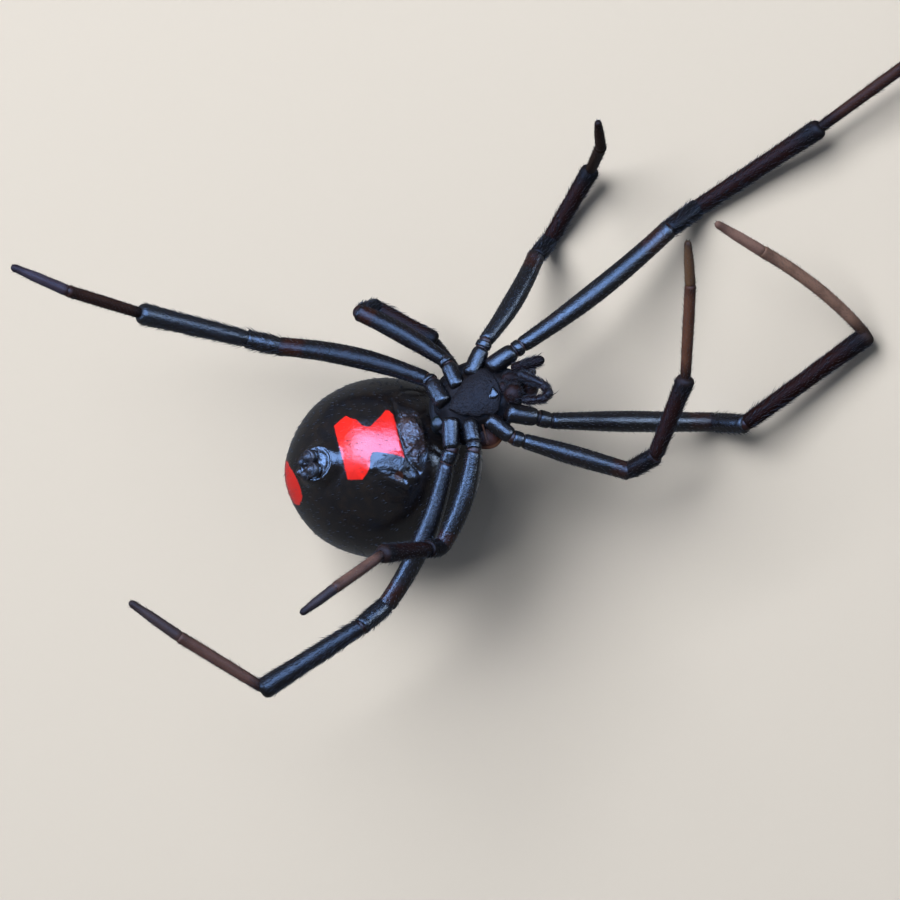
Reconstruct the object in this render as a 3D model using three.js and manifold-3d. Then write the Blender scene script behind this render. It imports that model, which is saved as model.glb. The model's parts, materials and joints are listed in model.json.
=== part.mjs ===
// Black widow spider, an adult female at life size, lying belly up on the floor.
// Millimetres, +Z up. The floor is z = 0, and the origin is the middle of the spider's box there.
// The pose frame has its origin on the floor below the middle of the abdomen, +X towards the head end.
// A body frame has +X to the head, +Y to the spider's right and +Z out of its belly.
import * as THREE from "three";
import { mergeVertices } from "three/addons/utils/BufferGeometryUtils.js";
import Module from "manifold-3d";

// Driving dimensions of the body.
const GAP = 0.2;
const ROOT_GAP = 0.22;
const SOCKET_GAP = 0.26;
const ABDOMEN_HALF_LENGTH = 4.1;
const ABDOMEN_HALF_WIDTH = 3.76;
const ABDOMEN_HALF_HEIGHT = 3.9;
const ABDOMEN_CENTRE_HEIGHT = 3.82;
const ABDOMEN_REAR_FULLNESS = 0.05;
const REAR_POINT = 0.045;
const REAR_POINT_TOWARDS = [-0.985, 0.12, 0.08];
const ABDOMEN_TURN = [15, 14, -22];

const CARAPACE_HALF_LENGTH = 2.06;
const CARAPACE_HALF_WIDTH = 1.78;
const CARAPACE_RISE = 1.1;
const CARAPACE_SKIRT = 0.6;
const CARAPACE_OFFSET = -0.22;
const HEAD_NARROWING = 0.46;
const PIT_PLACE = -0.22;
const PIT_DEPTH = 0.22;
const PROSOMA_CENTRE = [4.43, 3.18, 5.95];
const PROSOMA_TURN = [20, 14, -21];
const STERNUM_TOP = 1.02;
const STERNUM_THICKNESS = 0.5;
const STERNUM_FRONT = 1.0;
const STERNUM_BACK = -1.2;
const STERNUM_HALF_WIDTH = 0.86;
const EYE_RADIUS = 0.1;

// Leg pairs from the front: where the coxa leaves the body frame of the prosoma, and the lengths and
// radii of the pieces out to the claw.
const LEG_PIECES = ["coxa", "femur", "patella", "tibia", "metatarsus", "tarsus"];
const LEG_PAIRS = {
  1: { along: 1.27, aside: 1.05, lengths: [8.1, 1.8, 6.3, 6.6, 2.4], stoutness: 1.0 },
  2: { along: 0.36, aside: 1.3, lengths: [5.2, 1.5, 3.7, 4.2, 1.8], stoutness: 0.93 },
  3: { along: -0.5, aside: 1.18, lengths: [4.25, 1.2, 2.8, 2.8, 1.65], stoutness: 0.92 },
  4: { along: -1.3, aside: 0.78, lengths: [7.0, 1.5, 4.8, 4.3, 2.4], stoutness: 0.98 },
};
const COXA_DEPTH = 0.58;
const COXA_INSET = 0.15;
// Radii from the near end to the far end of each piece of a first leg. The tibia of a last leg
// thickens outwards.
const LEG_RADII = {
  coxa: [0.25, 0.33, 0.38, 0.38, 0.33, 0.36, 0.34],
  femur: [0.36, 0.46, 0.42],
  patella: [0.41, 0.42, 0.4],
  tibia: [0.36, 0.38, 0.43],
  metatarsus: [0.24, 0.26, 0.26],
  tarsus: [0.25, 0.23, 0.17],
};
const REAR_TIBIA_RADII = [0.37, 0.42, 0.47];

// The pose: each piece's heading from +X towards +Y and its rise over the floor, in degrees.
// sway bends a piece sideways, to the left of its heading, by so many millimetres at its middle.
const POSE = {
  right_1: {
    coxa: { length: 1.25, heading: 38, rise: -21 },
    femur: { heading: 40, rise: -28, sway: -0.17 },
    patella: { heading: 39, rise: -41 },
    tibia: { heading: 33.5, rise: 7 },
    metatarsus: { heading: 36.5, rise: 5 },
    tarsus: { heading: 40, rise: -12 },
  },
  right_2: {
    coxa: { length: 1.1, heading: 70, rise: -21 },
    femur: { heading: 67, rise: -48, sway: -0.15 },
    patella: { heading: 62, rise: -64 },
    tibia: { heading: 58, rise: 12 },
    metatarsus: { heading: 47, rise: 66 },
    tarsus: { heading: 82, rise: 53 },
  },
  right_3: {
    coxa: { length: 0.85, heading: 135, rise: -20 },
    femur: { heading: 154, rise: -10, sway: -0.1 },
    patella: { heading: 21, rise: -71 },
    tibia: { heading: -30, rise: -8 },
    metatarsus: { heading: -78, rise: -62 },
    tarsus: { heading: -60, rise: -35 },
  },
  right_4: {
    coxa: { length: 0.85, heading: 151, rise: -29 },
    femur: { heading: 171, rise: -13.5, sway: -0.25 },
    patella: { heading: 164.5, rise: 25.5 },
    tibia: { heading: 162, rise: 33 },
    metatarsus: { heading: 150, rise: 55 },
    tarsus: { heading: 155.5, rise: 14 },
  },
  left_1: {
    coxa: { length: 1.55, heading: -24, rise: -27 },
    femur: { heading: -5, rise: -41 },
    patella: { heading: 3, rise: 31 },
    tibia: { heading: 37, rise: -7 },
    metatarsus: { heading: 135.5, rise: 35, sway: -0.25 },
    tarsus: { heading: 144, rise: 33.5 },
  },
  left_2: {
    coxa: { length: 1.0, heading: -43, rise: -7 },
    femur: { heading: -19, rise: -24 },
    patella: { heading: 31, rise: 19 },
    tibia: { heading: 67, rise: 14 },
    metatarsus: { heading: 84.5, rise: 16.5 },
    tarsus: { heading: 91.5, rise: 13 },
  },
  left_3: {
    coxa: { length: 1.15, heading: -83, rise: 33 },
    femur: { heading: -108, rise: 4, sway: 0.25 },
    patella: { heading: 165, rise: 74 },
    tibia: { heading: 175, rise: 62 },
    metatarsus: { heading: -143, rise: 49 },
    tarsus: { heading: -142, rise: 17 },
  },
  left_4: {
    coxa: { length: 1.2, heading: -90, rise: 11 },
    femur: { heading: -113, rise: 2, sway: 0.35 },
    patella: { heading: -137.5, rise: 41 },
    tibia: { heading: -146.5, rise: 17.5 },
    metatarsus: { heading: 142.5, rise: 26 },
    tarsus: { heading: 143, rise: 13.5 },
  },
};

const BLACK = { color: 0x0b0b0d, roughness: 0.18, metalness: 0.0 };
const BROWN_BLACK = { color: 0x1c0d09, roughness: 0.28, metalness: 0.0 };
const RED_BROWN = { color: 0x3a1a14, roughness: 0.35, metalness: 0.0 };
const AMBER = { color: 0x5a3018, roughness: 0.35, metalness: 0.0 };
const LEG_FINISH = {
  coxa: BLACK,
  femur: BLACK,
  patella: BLACK,
  tibia: BROWN_BLACK,
  metatarsus: RED_BROWN,
  tarsus: BROWN_BLACK,
};

const wasm = await Module();
wasm.setup();

// A closed three.js geometry as a solid that can be joined and cut.
function solidOf(geometry) {
  const bare = geometry.clone();
  bare.deleteAttribute("normal");
  bare.deleteAttribute("uv");
  const merged = mergeVertices(bare, 1e-5);
  const vertProperties = new Float32Array(merged.attributes.position.array);
  const triVerts = new Uint32Array(merged.index.array);
  return new wasm.Manifold(new wasm.Mesh({ numProp: 3, vertProperties, triVerts }));
}

// A solid as a three.js geometry.
function geometryOf(solid) {
  const mesh = solid.getMesh();
  const geometry = new THREE.BufferGeometry();
  geometry.setAttribute("position", new THREE.BufferAttribute(mesh.vertProperties, 3));
  geometry.setIndex(new THREE.BufferAttribute(mesh.triVerts, 1));
  return geometry;
}

function largestOf(solid) {
  return solid.decompose().reduce((best, body) => (body.volume() > best.volume() ? body : best));
}

function joined(solids) {
  return solids.reduce((sum, solid) => sum.add(solid));
}

// A body frame turned by heading, nose-down pitch and roll, in degrees.
function bodyFrame(centre, [heading, pitch, roll]) {
  const turn = new THREE.Euler(
    THREE.MathUtils.degToRad(roll),
    THREE.MathUtils.degToRad(pitch),
    THREE.MathUtils.degToRad(heading),
    "ZYX",
  );
  return new THREE.Matrix4().makeRotationFromEuler(turn).setPosition(...centre);
}

function direction({ heading, rise }) {
  const around = THREE.MathUtils.degToRad(heading);
  const up = THREE.MathUtils.degToRad(rise);
  return new THREE.Vector3(
    Math.cos(up) * Math.cos(around),
    Math.cos(up) * Math.sin(around),
    Math.sin(up),
  );
}

// Moves each vertex of a geometry by a function of its place.
function shaped(geometry, move) {
  const place = geometry.attributes.position;
  const point = new THREE.Vector3();
  for (let i = 0; i < place.count; i++) {
    point.fromBufferAttribute(place, i);
    move(point);
    place.setXYZ(i, point.x, point.y, point.z);
  }
  return geometry;
}

// A ball with its poles on the X axis, stretched to three half sizes and placed.
function ellipsoid(halfSizes, centre, around = 12, along = 8) {
  return new THREE.SphereGeometry(1, around, along)
    .rotateZ(-Math.PI / 2)
    .scale(...halfSizes)
    .translate(...centre);
}

// The frame of a rod from one point to another: +Y along it, +X level and to the left of its heading.
function rodFrame(from, to) {
  const along = new THREE.Vector3().subVectors(to, from).normalize();
  const up = new THREE.Vector3(0, 0, 1);
  const left = new THREE.Vector3().crossVectors(up, along).normalize();
  const across = new THREE.Vector3().crossVectors(left, along);
  return new THREE.Matrix4().makeBasis(left, along, across).setPosition(from);
}

// A rod with a round end about each end point, its radius passing through a list of radii that are
// evenly spaced along it, and its middle swayed to the left.
function rod(from, to, radii, { sides = 10, rings = 6, cap = 2, sway = 0, grow = 0 } = {}) {
  const length = from.distanceTo(to);
  const radiusAt = (t) => {
    const step = Math.min(Math.floor(t * (radii.length - 1)), radii.length - 2);
    const part = t * (radii.length - 1) - step;
    return THREE.MathUtils.lerp(radii[step], radii[step + 1], THREE.MathUtils.smoothstep(part, 0, 1)) + grow;
  };
  const profile = [];
  const near = radiusAt(0);
  for (let i = 0; i <= cap; i++) {
    const angle = (i / (cap + 1)) * (Math.PI / 2);
    profile.push(new THREE.Vector2(i ? near * Math.sin(angle) : 0, -near * Math.cos(angle)));
  }
  for (let i = 0; i <= rings; i++) {
    profile.push(new THREE.Vector2(radiusAt(i / rings), (i / rings) * length));
  }
  const far = radiusAt(1);
  for (let i = cap; i >= 0; i--) {
    const angle = (i / (cap + 1)) * (Math.PI / 2);
    profile.push(new THREE.Vector2(i ? far * Math.sin(angle) : 0, length + far * Math.cos(angle)));
  }
  const lathe = new THREE.LatheGeometry(profile, sides);
  shaped(lathe, (p) => {
    const t = THREE.MathUtils.clamp(p.y / length, 0, 1);
    p.x += sway * 4 * t * (1 - t);
  });
  return solidOf(lathe.applyMatrix4(rodFrame(from, to)));
}

const spider = new THREE.Group();
const nodes = new Map();

// Keeps a node's solid, in the pose frame, with the frame that its mesh is placed by.
function keep(name, solid, frame, finish) {
  nodes.set(name, { solid, frame, finish });
}

function bodyPoint(frame, x, y, z) {
  return new THREE.Vector3(x, y, z).applyMatrix4(frame);
}

const abdomenFrame = bodyFrame([0, 0, ABDOMEN_CENTRE_HEIGHT], ABDOMEN_TURN);
const prosomaFrame = bodyFrame(PROSOMA_CENTRE, PROSOMA_TURN);

// The abdomen: a globe, fuller and slightly pointed behind, with the collar round the spinnerets, the
// raised plate of the epigyne and the covers of the book lungs near the waist.
const COLLAR = { centre: [-2.5, 0, 2.94], radius: 1.05, height: 0.45, tilt: -38 };
const EPIGYNE = { centre: [1.5, 0, 3.35], halfSizes: [0.45, 0.62, 0.42] };
const LUNG_COVER = { centre: [1.66, 1.38, 2.96], halfSizes: [0.66, 0.58, 0.33] };

function makeAbdomen() {
  const globe = new THREE.SphereGeometry(1, 36, 22).rotateZ(-Math.PI / 2);
  const pointed = new THREE.Vector3(...REAR_POINT_TOWARDS).normalize();
  shaped(globe, (p) => {
    const fullness = 1 - ABDOMEN_REAR_FULLNESS * p.x;
    const point = 1 + REAR_POINT * Math.max(0, p.dot(pointed)) ** 8;
    p.set(
      p.x * ABDOMEN_HALF_LENGTH * point,
      p.y * ABDOMEN_HALF_WIDTH * fullness * point,
      p.z * ABDOMEN_HALF_HEIGHT * fullness * point,
    );
  });
  const collar = new THREE.SphereGeometry(1, 20, 12)
    .rotateX(Math.PI / 2)
    .scale(COLLAR.radius, COLLAR.radius, COLLAR.height)
    .rotateY(THREE.MathUtils.degToRad(COLLAR.tilt))
    .translate(...COLLAR.centre);
  const epigyne = ellipsoid(EPIGYNE.halfSizes, EPIGYNE.centre, 14, 10);
  const [along, aside, level] = LUNG_COVER.centre;
  const lungs = [1, -1].map((side) => ellipsoid(LUNG_COVER.halfSizes, [along, side * aside, level], 14, 10));
  return joined([globe, collar, epigyne, ...lungs].map((g) => solidOf(g.applyMatrix4(abdomenFrame))));
}

// The spinnerets: a low cone at the rear end of the belly, with three pairs of blunt spinning tubes and
// the tubercle behind them. Each has its root, its end and its radii.
const SPINNERET_CONE = [[-2.4, 0, 2.75], [-2.92, 0, 3.06], [0.62, 0.6, 0.5]];
const SPINNERET_TUBES = [
  [[-2.75, 0.3, 3.1], [-3.42, 0.25, 3.34], [0.3, 0.27, 0.2]],
  [[-3.0, 0.28, 2.7], [-3.68, 0.22, 2.98], [0.26, 0.22, 0.15]],
  [[-2.95, 0.12, 2.92], [-3.45, 0.1, 3.14], [0.15, 0.14, 0.1]],
];
const ANAL_TUBERCLE = [[-3.1, 0, 2.5], [-3.72, 0, 2.6], [0.34, 0.26, 0.16]];

function makeSpinnerets(grow = 0) {
  const place = ([x, y, z], side = 1) => bodyPoint(abdomenFrame, x, side * y, z);
  const [base, tip, radii] = SPINNERET_CONE;
  const cone = rod(place(base), place(tip), radii, { sides: 16, rings: 4, grow });
  const [root, end, girths] = ANAL_TUBERCLE;
  const tubercle = rod(place(root), place(end), girths, { sides: 8, rings: 3, grow });
  const tubes = [1, -1].flatMap((side) =>
    SPINNERET_TUBES.map(([from, to, sizes]) => {
      return rod(place(from, side), place(to, side), sizes, { sides: 8, rings: 3, grow });
    }),
  );
  return joined([cone, tubercle, ...tubes]);
}

function makePedicel(grow = 0) {
  const front = bodyPoint(prosomaFrame, -1.75, 0, -0.05);
  const back = bodyPoint(abdomenFrame, 2.62, 0.1, 2.55);
  return rod(back, front, [0.3, 0.34, 0.3], { sides: 12, rings: 3, grow });
}

// The outline of the breast plate: broad in front, scalloped to a point between the last coxae.
function sternumShape() {
  const shape = new THREE.Shape();
  const half = STERNUM_HALF_WIDTH;
  shape.moveTo(STERNUM_FRONT, -0.45 * half);
  shape.lineTo(STERNUM_FRONT, 0.45 * half);
  shape.quadraticCurveTo(STERNUM_FRONT - 0.05, half, 0.3, half);
  shape.quadraticCurveTo(-0.5, 0.9 * half, STERNUM_BACK, 0.12);
  shape.lineTo(STERNUM_BACK, -0.12);
  shape.quadraticCurveTo(-0.5, -0.9 * half, 0.3, -half);
  shape.quadraticCurveTo(STERNUM_FRONT - 0.05, -half, STERNUM_FRONT, -0.45 * half);
  return shape;
}

// The carapace with its narrower head and eyes, the breast plate, the lip and the mouth plates.
function makeProsomaBlank() {
  const carapace = new THREE.SphereGeometry(1, 24, 16).rotateZ(-Math.PI / 2);
  shaped(carapace, (p) => {
    const head = THREE.MathUtils.smoothstep(p.x, 0.0, 1.0);
    const narrow = 1 - HEAD_NARROWING * head;
    const pit = PIT_DEPTH * Math.exp(-((p.x - PIT_PLACE) ** 2) / 0.012 - p.y ** 2 / 0.05);
    const height = p.z < 0 ? CARAPACE_RISE - pit : CARAPACE_SKIRT;
    p.set(
      p.x * CARAPACE_HALF_LENGTH,
      p.y * CARAPACE_HALF_WIDTH * narrow,
      p.z * height + CARAPACE_OFFSET - 0.12 * head,
    );
  });
  const sternum = new THREE.ExtrudeGeometry(sternumShape(), {
    depth: STERNUM_THICKNESS,
    bevelThickness: 0.08,
    bevelSize: 0.08,
    bevelSegments: 2,
    curveSegments: 6,
  }).translate(0, 0, STERNUM_TOP - STERNUM_THICKNESS - 0.08);
  const sides = ellipsoid([1.9, 1.25, 0.86], [0.1, 0, 0.06], 20, 12);
  const lip = ellipsoid([0.27, 0.3, 0.24], [1.22, -0.05, 0.78]);
  const mouthPlates = [1, -1].map((side) => ellipsoid([0.48, 0.27, 0.4], [1.56, side * 0.38 - 0.05, 0.6]));
  const eyes = [];
  for (const side of [1, -1]) {
    for (const [aside, level] of [[0.16, -0.62], [0.42, -0.6], [0.15, -0.86], [0.44, -0.78]]) {
      eyes.push(eyeAt(aside * side, level));
    }
  }
  const pieces = [carapace, sternum, sides, lip, ...mouthPlates, ...eyes];
  return joined(pieces.map((g) => solidOf(g.applyMatrix4(prosomaFrame))));
}

// An eye: a small dome on the front of the head, where the carapace passes the given place.
function eyeAt(aside, level) {
  const width = CARAPACE_HALF_WIDTH * (1 - HEAD_NARROWING);
  const y = aside / width;
  const z = (level - CARAPACE_OFFSET + 0.12) / CARAPACE_RISE;
  const x = Math.sqrt(Math.max(0, 1 - y * y - z * z)) * CARAPACE_HALF_LENGTH;
  return new THREE.SphereGeometry(EYE_RADIUS, 6, 4).translate(x, aside, level);
}

// A jaw: a stout base that hangs from the front of the head, and the fang folded at its end.
function makeJaw(side, grow = 0) {
  const top = bodyPoint(prosomaFrame, 2.0, side * 0.42, -0.2);
  const end = bodyPoint(prosomaFrame, 2.75, side * 0.38, 0.4);
  const base = rod(top, end, [0.3, 0.31, 0.22], { sides: 10, rings: 4, grow });
  if (grow) return base;
  const root = bodyPoint(prosomaFrame, 2.78, side * 0.36, 0.5);
  const point = bodyPoint(prosomaFrame, 2.45, side * 0.16, 0.72);
  return base.add(rod(root, point, [0.13, 0.1, 0.04], { sides: 8, rings: 3 }));
}

// A feeler as a chain of rods through its joints, in the frame of the prosoma.
const FEELER_RIGHT = [[1.76, 0.44, 1.2], [2.12, 0.35, 1.3], [2.43, 0.31, 1.36], [2.95, 0.27, 1.4]];
const FEELER_LEFT = [
  [1.74, -1.03, 1.17], [2.2, -1.26, 1.34], [2.62, -1.37, 1.44],
  [2.86, -1.2, 1.5], [2.76, -0.86, 1.57], [2.0, -0.11, 1.63],
];
const FEELER_RADIUS = 0.22;

function makeFeeler(joints, grow = 0) {
  const points = joints.map((joint) => bodyPoint(prosomaFrame, ...joint));
  const lengths = [];
  for (let i = 0; i + 1 < points.length; i++) {
    const last = i + 2 === points.length;
    const radii = last ? [0.9, 1.1, 0.75] : [0.85, 1, 0.95];
    const sized = radii.map((r) => r * FEELER_RADIUS);
    lengths.push(rod(points[i], points[i + 1], sized, { sides: 8, rings: 3, grow }));
  }
  return joined(lengths);
}

// The joints of a leg from its root on the prosoma to the claw.
function legJoints(name) {
  const [side, pair] = name.split("_");
  const { along, aside, lengths } = LEG_PAIRS[pair];
  const joints = [bodyPoint(prosomaFrame, along, side === "right" ? aside : -aside, COXA_DEPTH)];
  LEG_PIECES.forEach((piece, i) => {
    const length = i ? lengths[i - 1] : POSE[name].coxa.length;
    joints.push(joints[i].clone().addScaledVector(direction(POSE[name][piece]), length));
  });
  return joints;
}

function legRod(name, i, joints, grow = 0) {
  const piece = LEG_PIECES[i];
  const stoutness = LEG_PAIRS[name.split("_")[1]].stoutness;
  const rear = name.endsWith("4") && piece === "tibia";
  const radii = (rear ? REAR_TIBIA_RADII : LEG_RADII[piece]).map((r) => r * stoutness);
  const rings = { coxa: 7, femur: 6, patella: 6 }[piece] ?? 3;
  const inset = direction(POSE[name][piece]).multiplyScalar(piece === "coxa" ? COXA_INSET : 0);
  return rod(joints[i].clone().sub(inset), joints[i + 1], radii, {
    sides: 10,
    rings,
    sway: POSE[name][piece].sway ?? 0,
    grow,
  });
}

// The eight legs. Neighbouring pieces are parted on the plane that halves their bend.
const legRoots = [];
for (const name of Object.keys(POSE)) {
  const joints = legJoints(name);
  LEG_PIECES.forEach((piece, i) => {
    let solid = legRod(name, i, joints);
    const here = direction(POSE[name][piece]);
    if (i > 0) {
      const cut = direction(POSE[name][LEG_PIECES[i - 1]]).add(here).normalize();
      solid = solid.trimByPlane(cut.toArray(), cut.dot(joints[i]) + GAP / 2);
    }
    if (i < 5) {
      const cut = direction(POSE[name][LEG_PIECES[i + 1]]).add(here).normalize().negate();
      solid = solid.trimByPlane(cut.toArray(), cut.dot(joints[i + 1]) + GAP / 2);
    }
    keep(`leg_${name}_${piece}`, solid, rodFrame(joints[i], joints[i + 1]), LEG_FINISH[piece]);
  });
  legRoots.push(legRod(name, 0, joints, ROOT_GAP));
}

const feelers = { right: FEELER_RIGHT, left: FEELER_LEFT };
const jawSockets = [1, -1].map((side) => makeJaw(side, SOCKET_GAP));
const feelerSockets = Object.values(feelers).map((joints) => makeFeeler(joints.slice(0, 2), SOCKET_GAP));
const prosoma = [...legRoots, ...jawSockets, ...feelerSockets, makePedicel(SOCKET_GAP)].reduce(
  (body, socket) => body.subtract(socket),
  makeProsomaBlank(),
);
keep("prosoma", largestOf(prosoma), prosomaFrame, BLACK);
const abdomen = makeAbdomen().subtract(makeSpinnerets(SOCKET_GAP)).subtract(makePedicel(SOCKET_GAP));
keep("abdomen", largestOf(abdomen), abdomenFrame, BLACK);
keep("spinnerets", makeSpinnerets(), abdomenFrame, BROWN_BLACK);
keep("pedicel", makePedicel(), prosomaFrame, BROWN_BLACK);
keep("jaw_right", makeJaw(1), prosomaFrame, BROWN_BLACK);
keep("jaw_left", makeJaw(-1), prosomaFrame, BROWN_BLACK);
for (const [side, joints] of Object.entries(feelers)) {
  keep(`feeler_${side}`, makeFeeler(joints), prosomaFrame, AMBER);
}

// Each solid is cut off at the floor, then becomes a mesh placed by its own frame.
const box = new THREE.Box3();
for (const [name, { solid, frame, finish }] of nodes) {
  const cut = largestOf(solid.trimByPlane([0, 0, 1], 0));
  const { min, max } = cut.boundingBox();
  box.expandByPoint(new THREE.Vector3(...min)).expandByPoint(new THREE.Vector3(...max));
  const geometry = geometryOf(cut).applyMatrix4(frame.clone().invert());
  geometry.computeVertexNormals();
  const mesh = new THREE.Mesh(geometry, new THREE.MeshStandardMaterial(finish));
  mesh.name = name;
  mesh.applyMatrix4(frame);
  spider.add(mesh);
}

const middle = box.getCenter(new THREE.Vector3());
spider.position.set(-middle.x, -middle.y, -box.min.z);
const part = new THREE.Group();
part.add(spider);

export default part;
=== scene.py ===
"""Black widow spider, an adult female at life size, lying belly up on a plain pale floor.

Tables of sizes are in millimetres. The pose frame has its origin on the floor below the middle of the
abdomen, +X towards the head end and +Y to the spider's right. A body frame has +X to the head, +Y to the
spider's right and +Z out of its belly. Finished pieces are in metres.
"""

import json
import math
import random

import bmesh
import bpy
import numpy as np
from bpy.props import FloatProperty, FloatVectorProperty, PointerProperty
from mathutils import Euler, Matrix, Vector, noise


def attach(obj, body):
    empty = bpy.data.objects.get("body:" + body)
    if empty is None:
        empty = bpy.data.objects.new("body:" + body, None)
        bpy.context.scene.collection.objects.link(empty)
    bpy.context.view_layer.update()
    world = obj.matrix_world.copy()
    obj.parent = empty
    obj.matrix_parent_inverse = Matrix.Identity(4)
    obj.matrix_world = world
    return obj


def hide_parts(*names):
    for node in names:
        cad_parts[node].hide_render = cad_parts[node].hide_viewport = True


bl_info = {
    "name": "Black widow spider",
    "version": (1, 0, 0),
    "blender": (4, 5, 0),
    "location": "View3D > Sidebar > Spider",
    "description": "Builds a life-size black widow spider lying belly up",
    "category": "Add Mesh",
}

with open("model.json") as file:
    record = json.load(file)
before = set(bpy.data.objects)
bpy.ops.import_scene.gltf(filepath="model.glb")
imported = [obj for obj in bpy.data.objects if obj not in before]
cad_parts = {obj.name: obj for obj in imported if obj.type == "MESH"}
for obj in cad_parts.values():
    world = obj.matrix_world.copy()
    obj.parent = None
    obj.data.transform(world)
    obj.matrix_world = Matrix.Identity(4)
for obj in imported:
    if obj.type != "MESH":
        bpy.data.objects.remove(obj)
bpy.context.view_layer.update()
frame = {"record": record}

MM = 0.001
REST = next(mount for mount in frame["record"]["mounts"] if mount["name"] == "rest")
ORIGIN = Vector(REST["pos_m"])

# The body, as the solids have it.
ABDOMEN_CENTRE = (0, 0, 3.82)
ABDOMEN_TURN = (15, 14, -22)
ABDOMEN_HALF = (4.1, 3.76, 3.9)
ABDOMEN_REAR_FULLNESS = 0.05
PROSOMA_CENTRE = (4.43, 3.18, 5.95)
PROSOMA_TURN = (20, 14, -21)
CARAPACE_HALF_LENGTH = 2.06
CARAPACE_HALF_WIDTH = 1.78
CARAPACE_RISE = 1.1
CARAPACE_SKIRT = 0.6
CARAPACE_OFFSET = -0.22
HEAD_NARROWING = 0.46
STERNUM_TOP = 1.02
# The abdomen's blunt point behind the spinnerets: how far it stands out, as a share, and where to.
REAR_POINT = 0.045
REAR_POINT_TOWARDS = Vector((-0.985, 0.12, 0.08)).normalized()
# The feelers' joints, in the prosoma's frame.
FEELERS = {
    "right": ((1.76, 0.44, 1.2), (2.12, 0.35, 1.3), (2.43, 0.31, 1.36), (2.95, 0.27, 1.4)),
    "left": (
        (1.74, -1.03, 1.17),
        (2.2, -1.26, 1.34),
        (2.62, -1.37, 1.44),
        (2.86, -1.2, 1.5),
        (2.76, -0.86, 1.57),
        (2.0, -0.11, 1.63),
    ),
}
FEELER_RADIUS = 0.22

# Leg pairs from the front: where the coxa leaves the prosoma, then lengths from the femur to the tarsus.
LEG_PIECES = ("coxa", "femur", "patella", "tibia", "metatarsus", "tarsus")
LEG_PAIRS = {
    "1": {"along": 1.27, "aside": 1.05, "lengths": (8.1, 1.8, 6.3, 6.6, 2.4), "stoutness": 1.0},
    "2": {"along": 0.36, "aside": 1.3, "lengths": (5.2, 1.5, 3.7, 4.2, 1.8), "stoutness": 0.93},
    "3": {"along": -0.5, "aside": 1.18, "lengths": (4.25, 1.2, 2.8, 2.8, 1.65), "stoutness": 0.92},
    "4": {"along": -1.3, "aside": 0.78, "lengths": (7.0, 1.5, 4.8, 4.3, 2.4), "stoutness": 0.98},
}
COXA_DEPTH = 0.58
LEG_RADII = {
    "femur": (0.36, 0.46, 0.42),
    "patella": (0.41, 0.42, 0.4),
    "tibia": (0.36, 0.38, 0.43),
    "metatarsus": (0.24, 0.26, 0.26),
    "tarsus": (0.25, 0.23, 0.17),
}
REAR_TIBIA_RADII = (0.37, 0.42, 0.47)

# The pose: each piece's heading from +X towards +Y and its rise over the floor in degrees, then the sway
# of a bowed femur to the left of its heading. The coxae's lengths come first.
POSE = {
    "right_1": (1.25, (38, -21), (40, -28, -0.17), (39, -41), (33.5, 7), (36.5, 5), (40, -12)),
    "right_2": (1.1, (70, -21), (67, -48, -0.15), (62, -64), (58, 12), (47, 66), (82, 53)),
    "right_3": (0.85, (135, -20), (154, -10, -0.1), (21, -71), (-30, -8), (-78, -62), (-60, -35)),
    "right_4": (0.85, (151, -29), (171, -13.5, -0.25), (164.5, 25.5), (162, 33), (150, 55), (155.5, 14)),
    "left_1": (1.55, (-24, -27), (-5, -41), (3, 31), (37, -7), (135.5, 35, -0.25), (144, 33.5)),
    "left_2": (1.0, (-43, -7), (-19, -24), (31, 19), (67, 14), (84.5, 16.5), (91.5, 13)),
    "left_3": (1.15, (-83, 33), (-108, 4, 0.25), (165, 74), (175, 62), (-143, 49), (-142, 17)),
    "left_4": (1.2, (-90, 11), (-113, 2, 0.35), (-137.5, 41), (-146.5, 17.5), (142.5, 26), (143, 13.5)),
}


def body_frame(centre, turn):
    """Matrix from a body's own millimetres to the part's metres."""
    heading, pitch, roll = (math.radians(angle) for angle in turn)
    spun = Euler((roll, pitch, heading), "XYZ").to_matrix().to_4x4()
    return Matrix.Translation(ORIGIN + Vector(centre) * MM) @ spun @ Matrix.Scale(MM, 4)


ABDOMEN_FRAME = body_frame(ABDOMEN_CENTRE, ABDOMEN_TURN)
PROSOMA_FRAME = body_frame(PROSOMA_CENTRE, PROSOMA_TURN)
POSE_FRAME = Matrix.Translation(ORIGIN) @ Matrix.Scale(MM, 4)


# Settings in the sidebar.


def length_setting(name, text, millimetres):
    return FloatProperty(name=name, description=text, default=millimetres * MM, min=0.0, unit="LENGTH")


def power_setting(name, text, watts):
    return FloatProperty(name=name, description=text, default=watts, min=0.0, unit="POWER")


def density_setting(name, text, count):
    return FloatProperty(name=name, description=text, default=count, min=0.0)


def colour_setting(name, text, colour):
    return FloatVectorProperty(
        name=name, description=text, default=colour, size=3, min=0.0, max=1.0, subtype="COLOR"
    )


class SpiderSizes(bpy.types.PropertyGroup):
    """Sizes that the whole spider shares."""

    bristle_length: length_setting("Bristle", "Length of an ordinary leg bristle", 0.23)
    bristle_radius: length_setting("Bristle radius", "Radius of a bristle at its root", 0.016)
    eye_radius: length_setting("Eye", "Radius of a middle eye", 0.1)
    claw_length: length_setting("Claw", "Length of a foot's claw", 0.16)
    leg_bristles: density_setting("Leg bristles", "Bristles on a square millimetre of leg", 40.0)
    belly_bristles: density_setting("Belly bristles", "Bristles on a square millimetre of abdomen", 9.0)
    feeler_bristles: density_setting("Feeler bristles", "Bristles on a square millimetre of feeler", 100.0)


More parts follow.
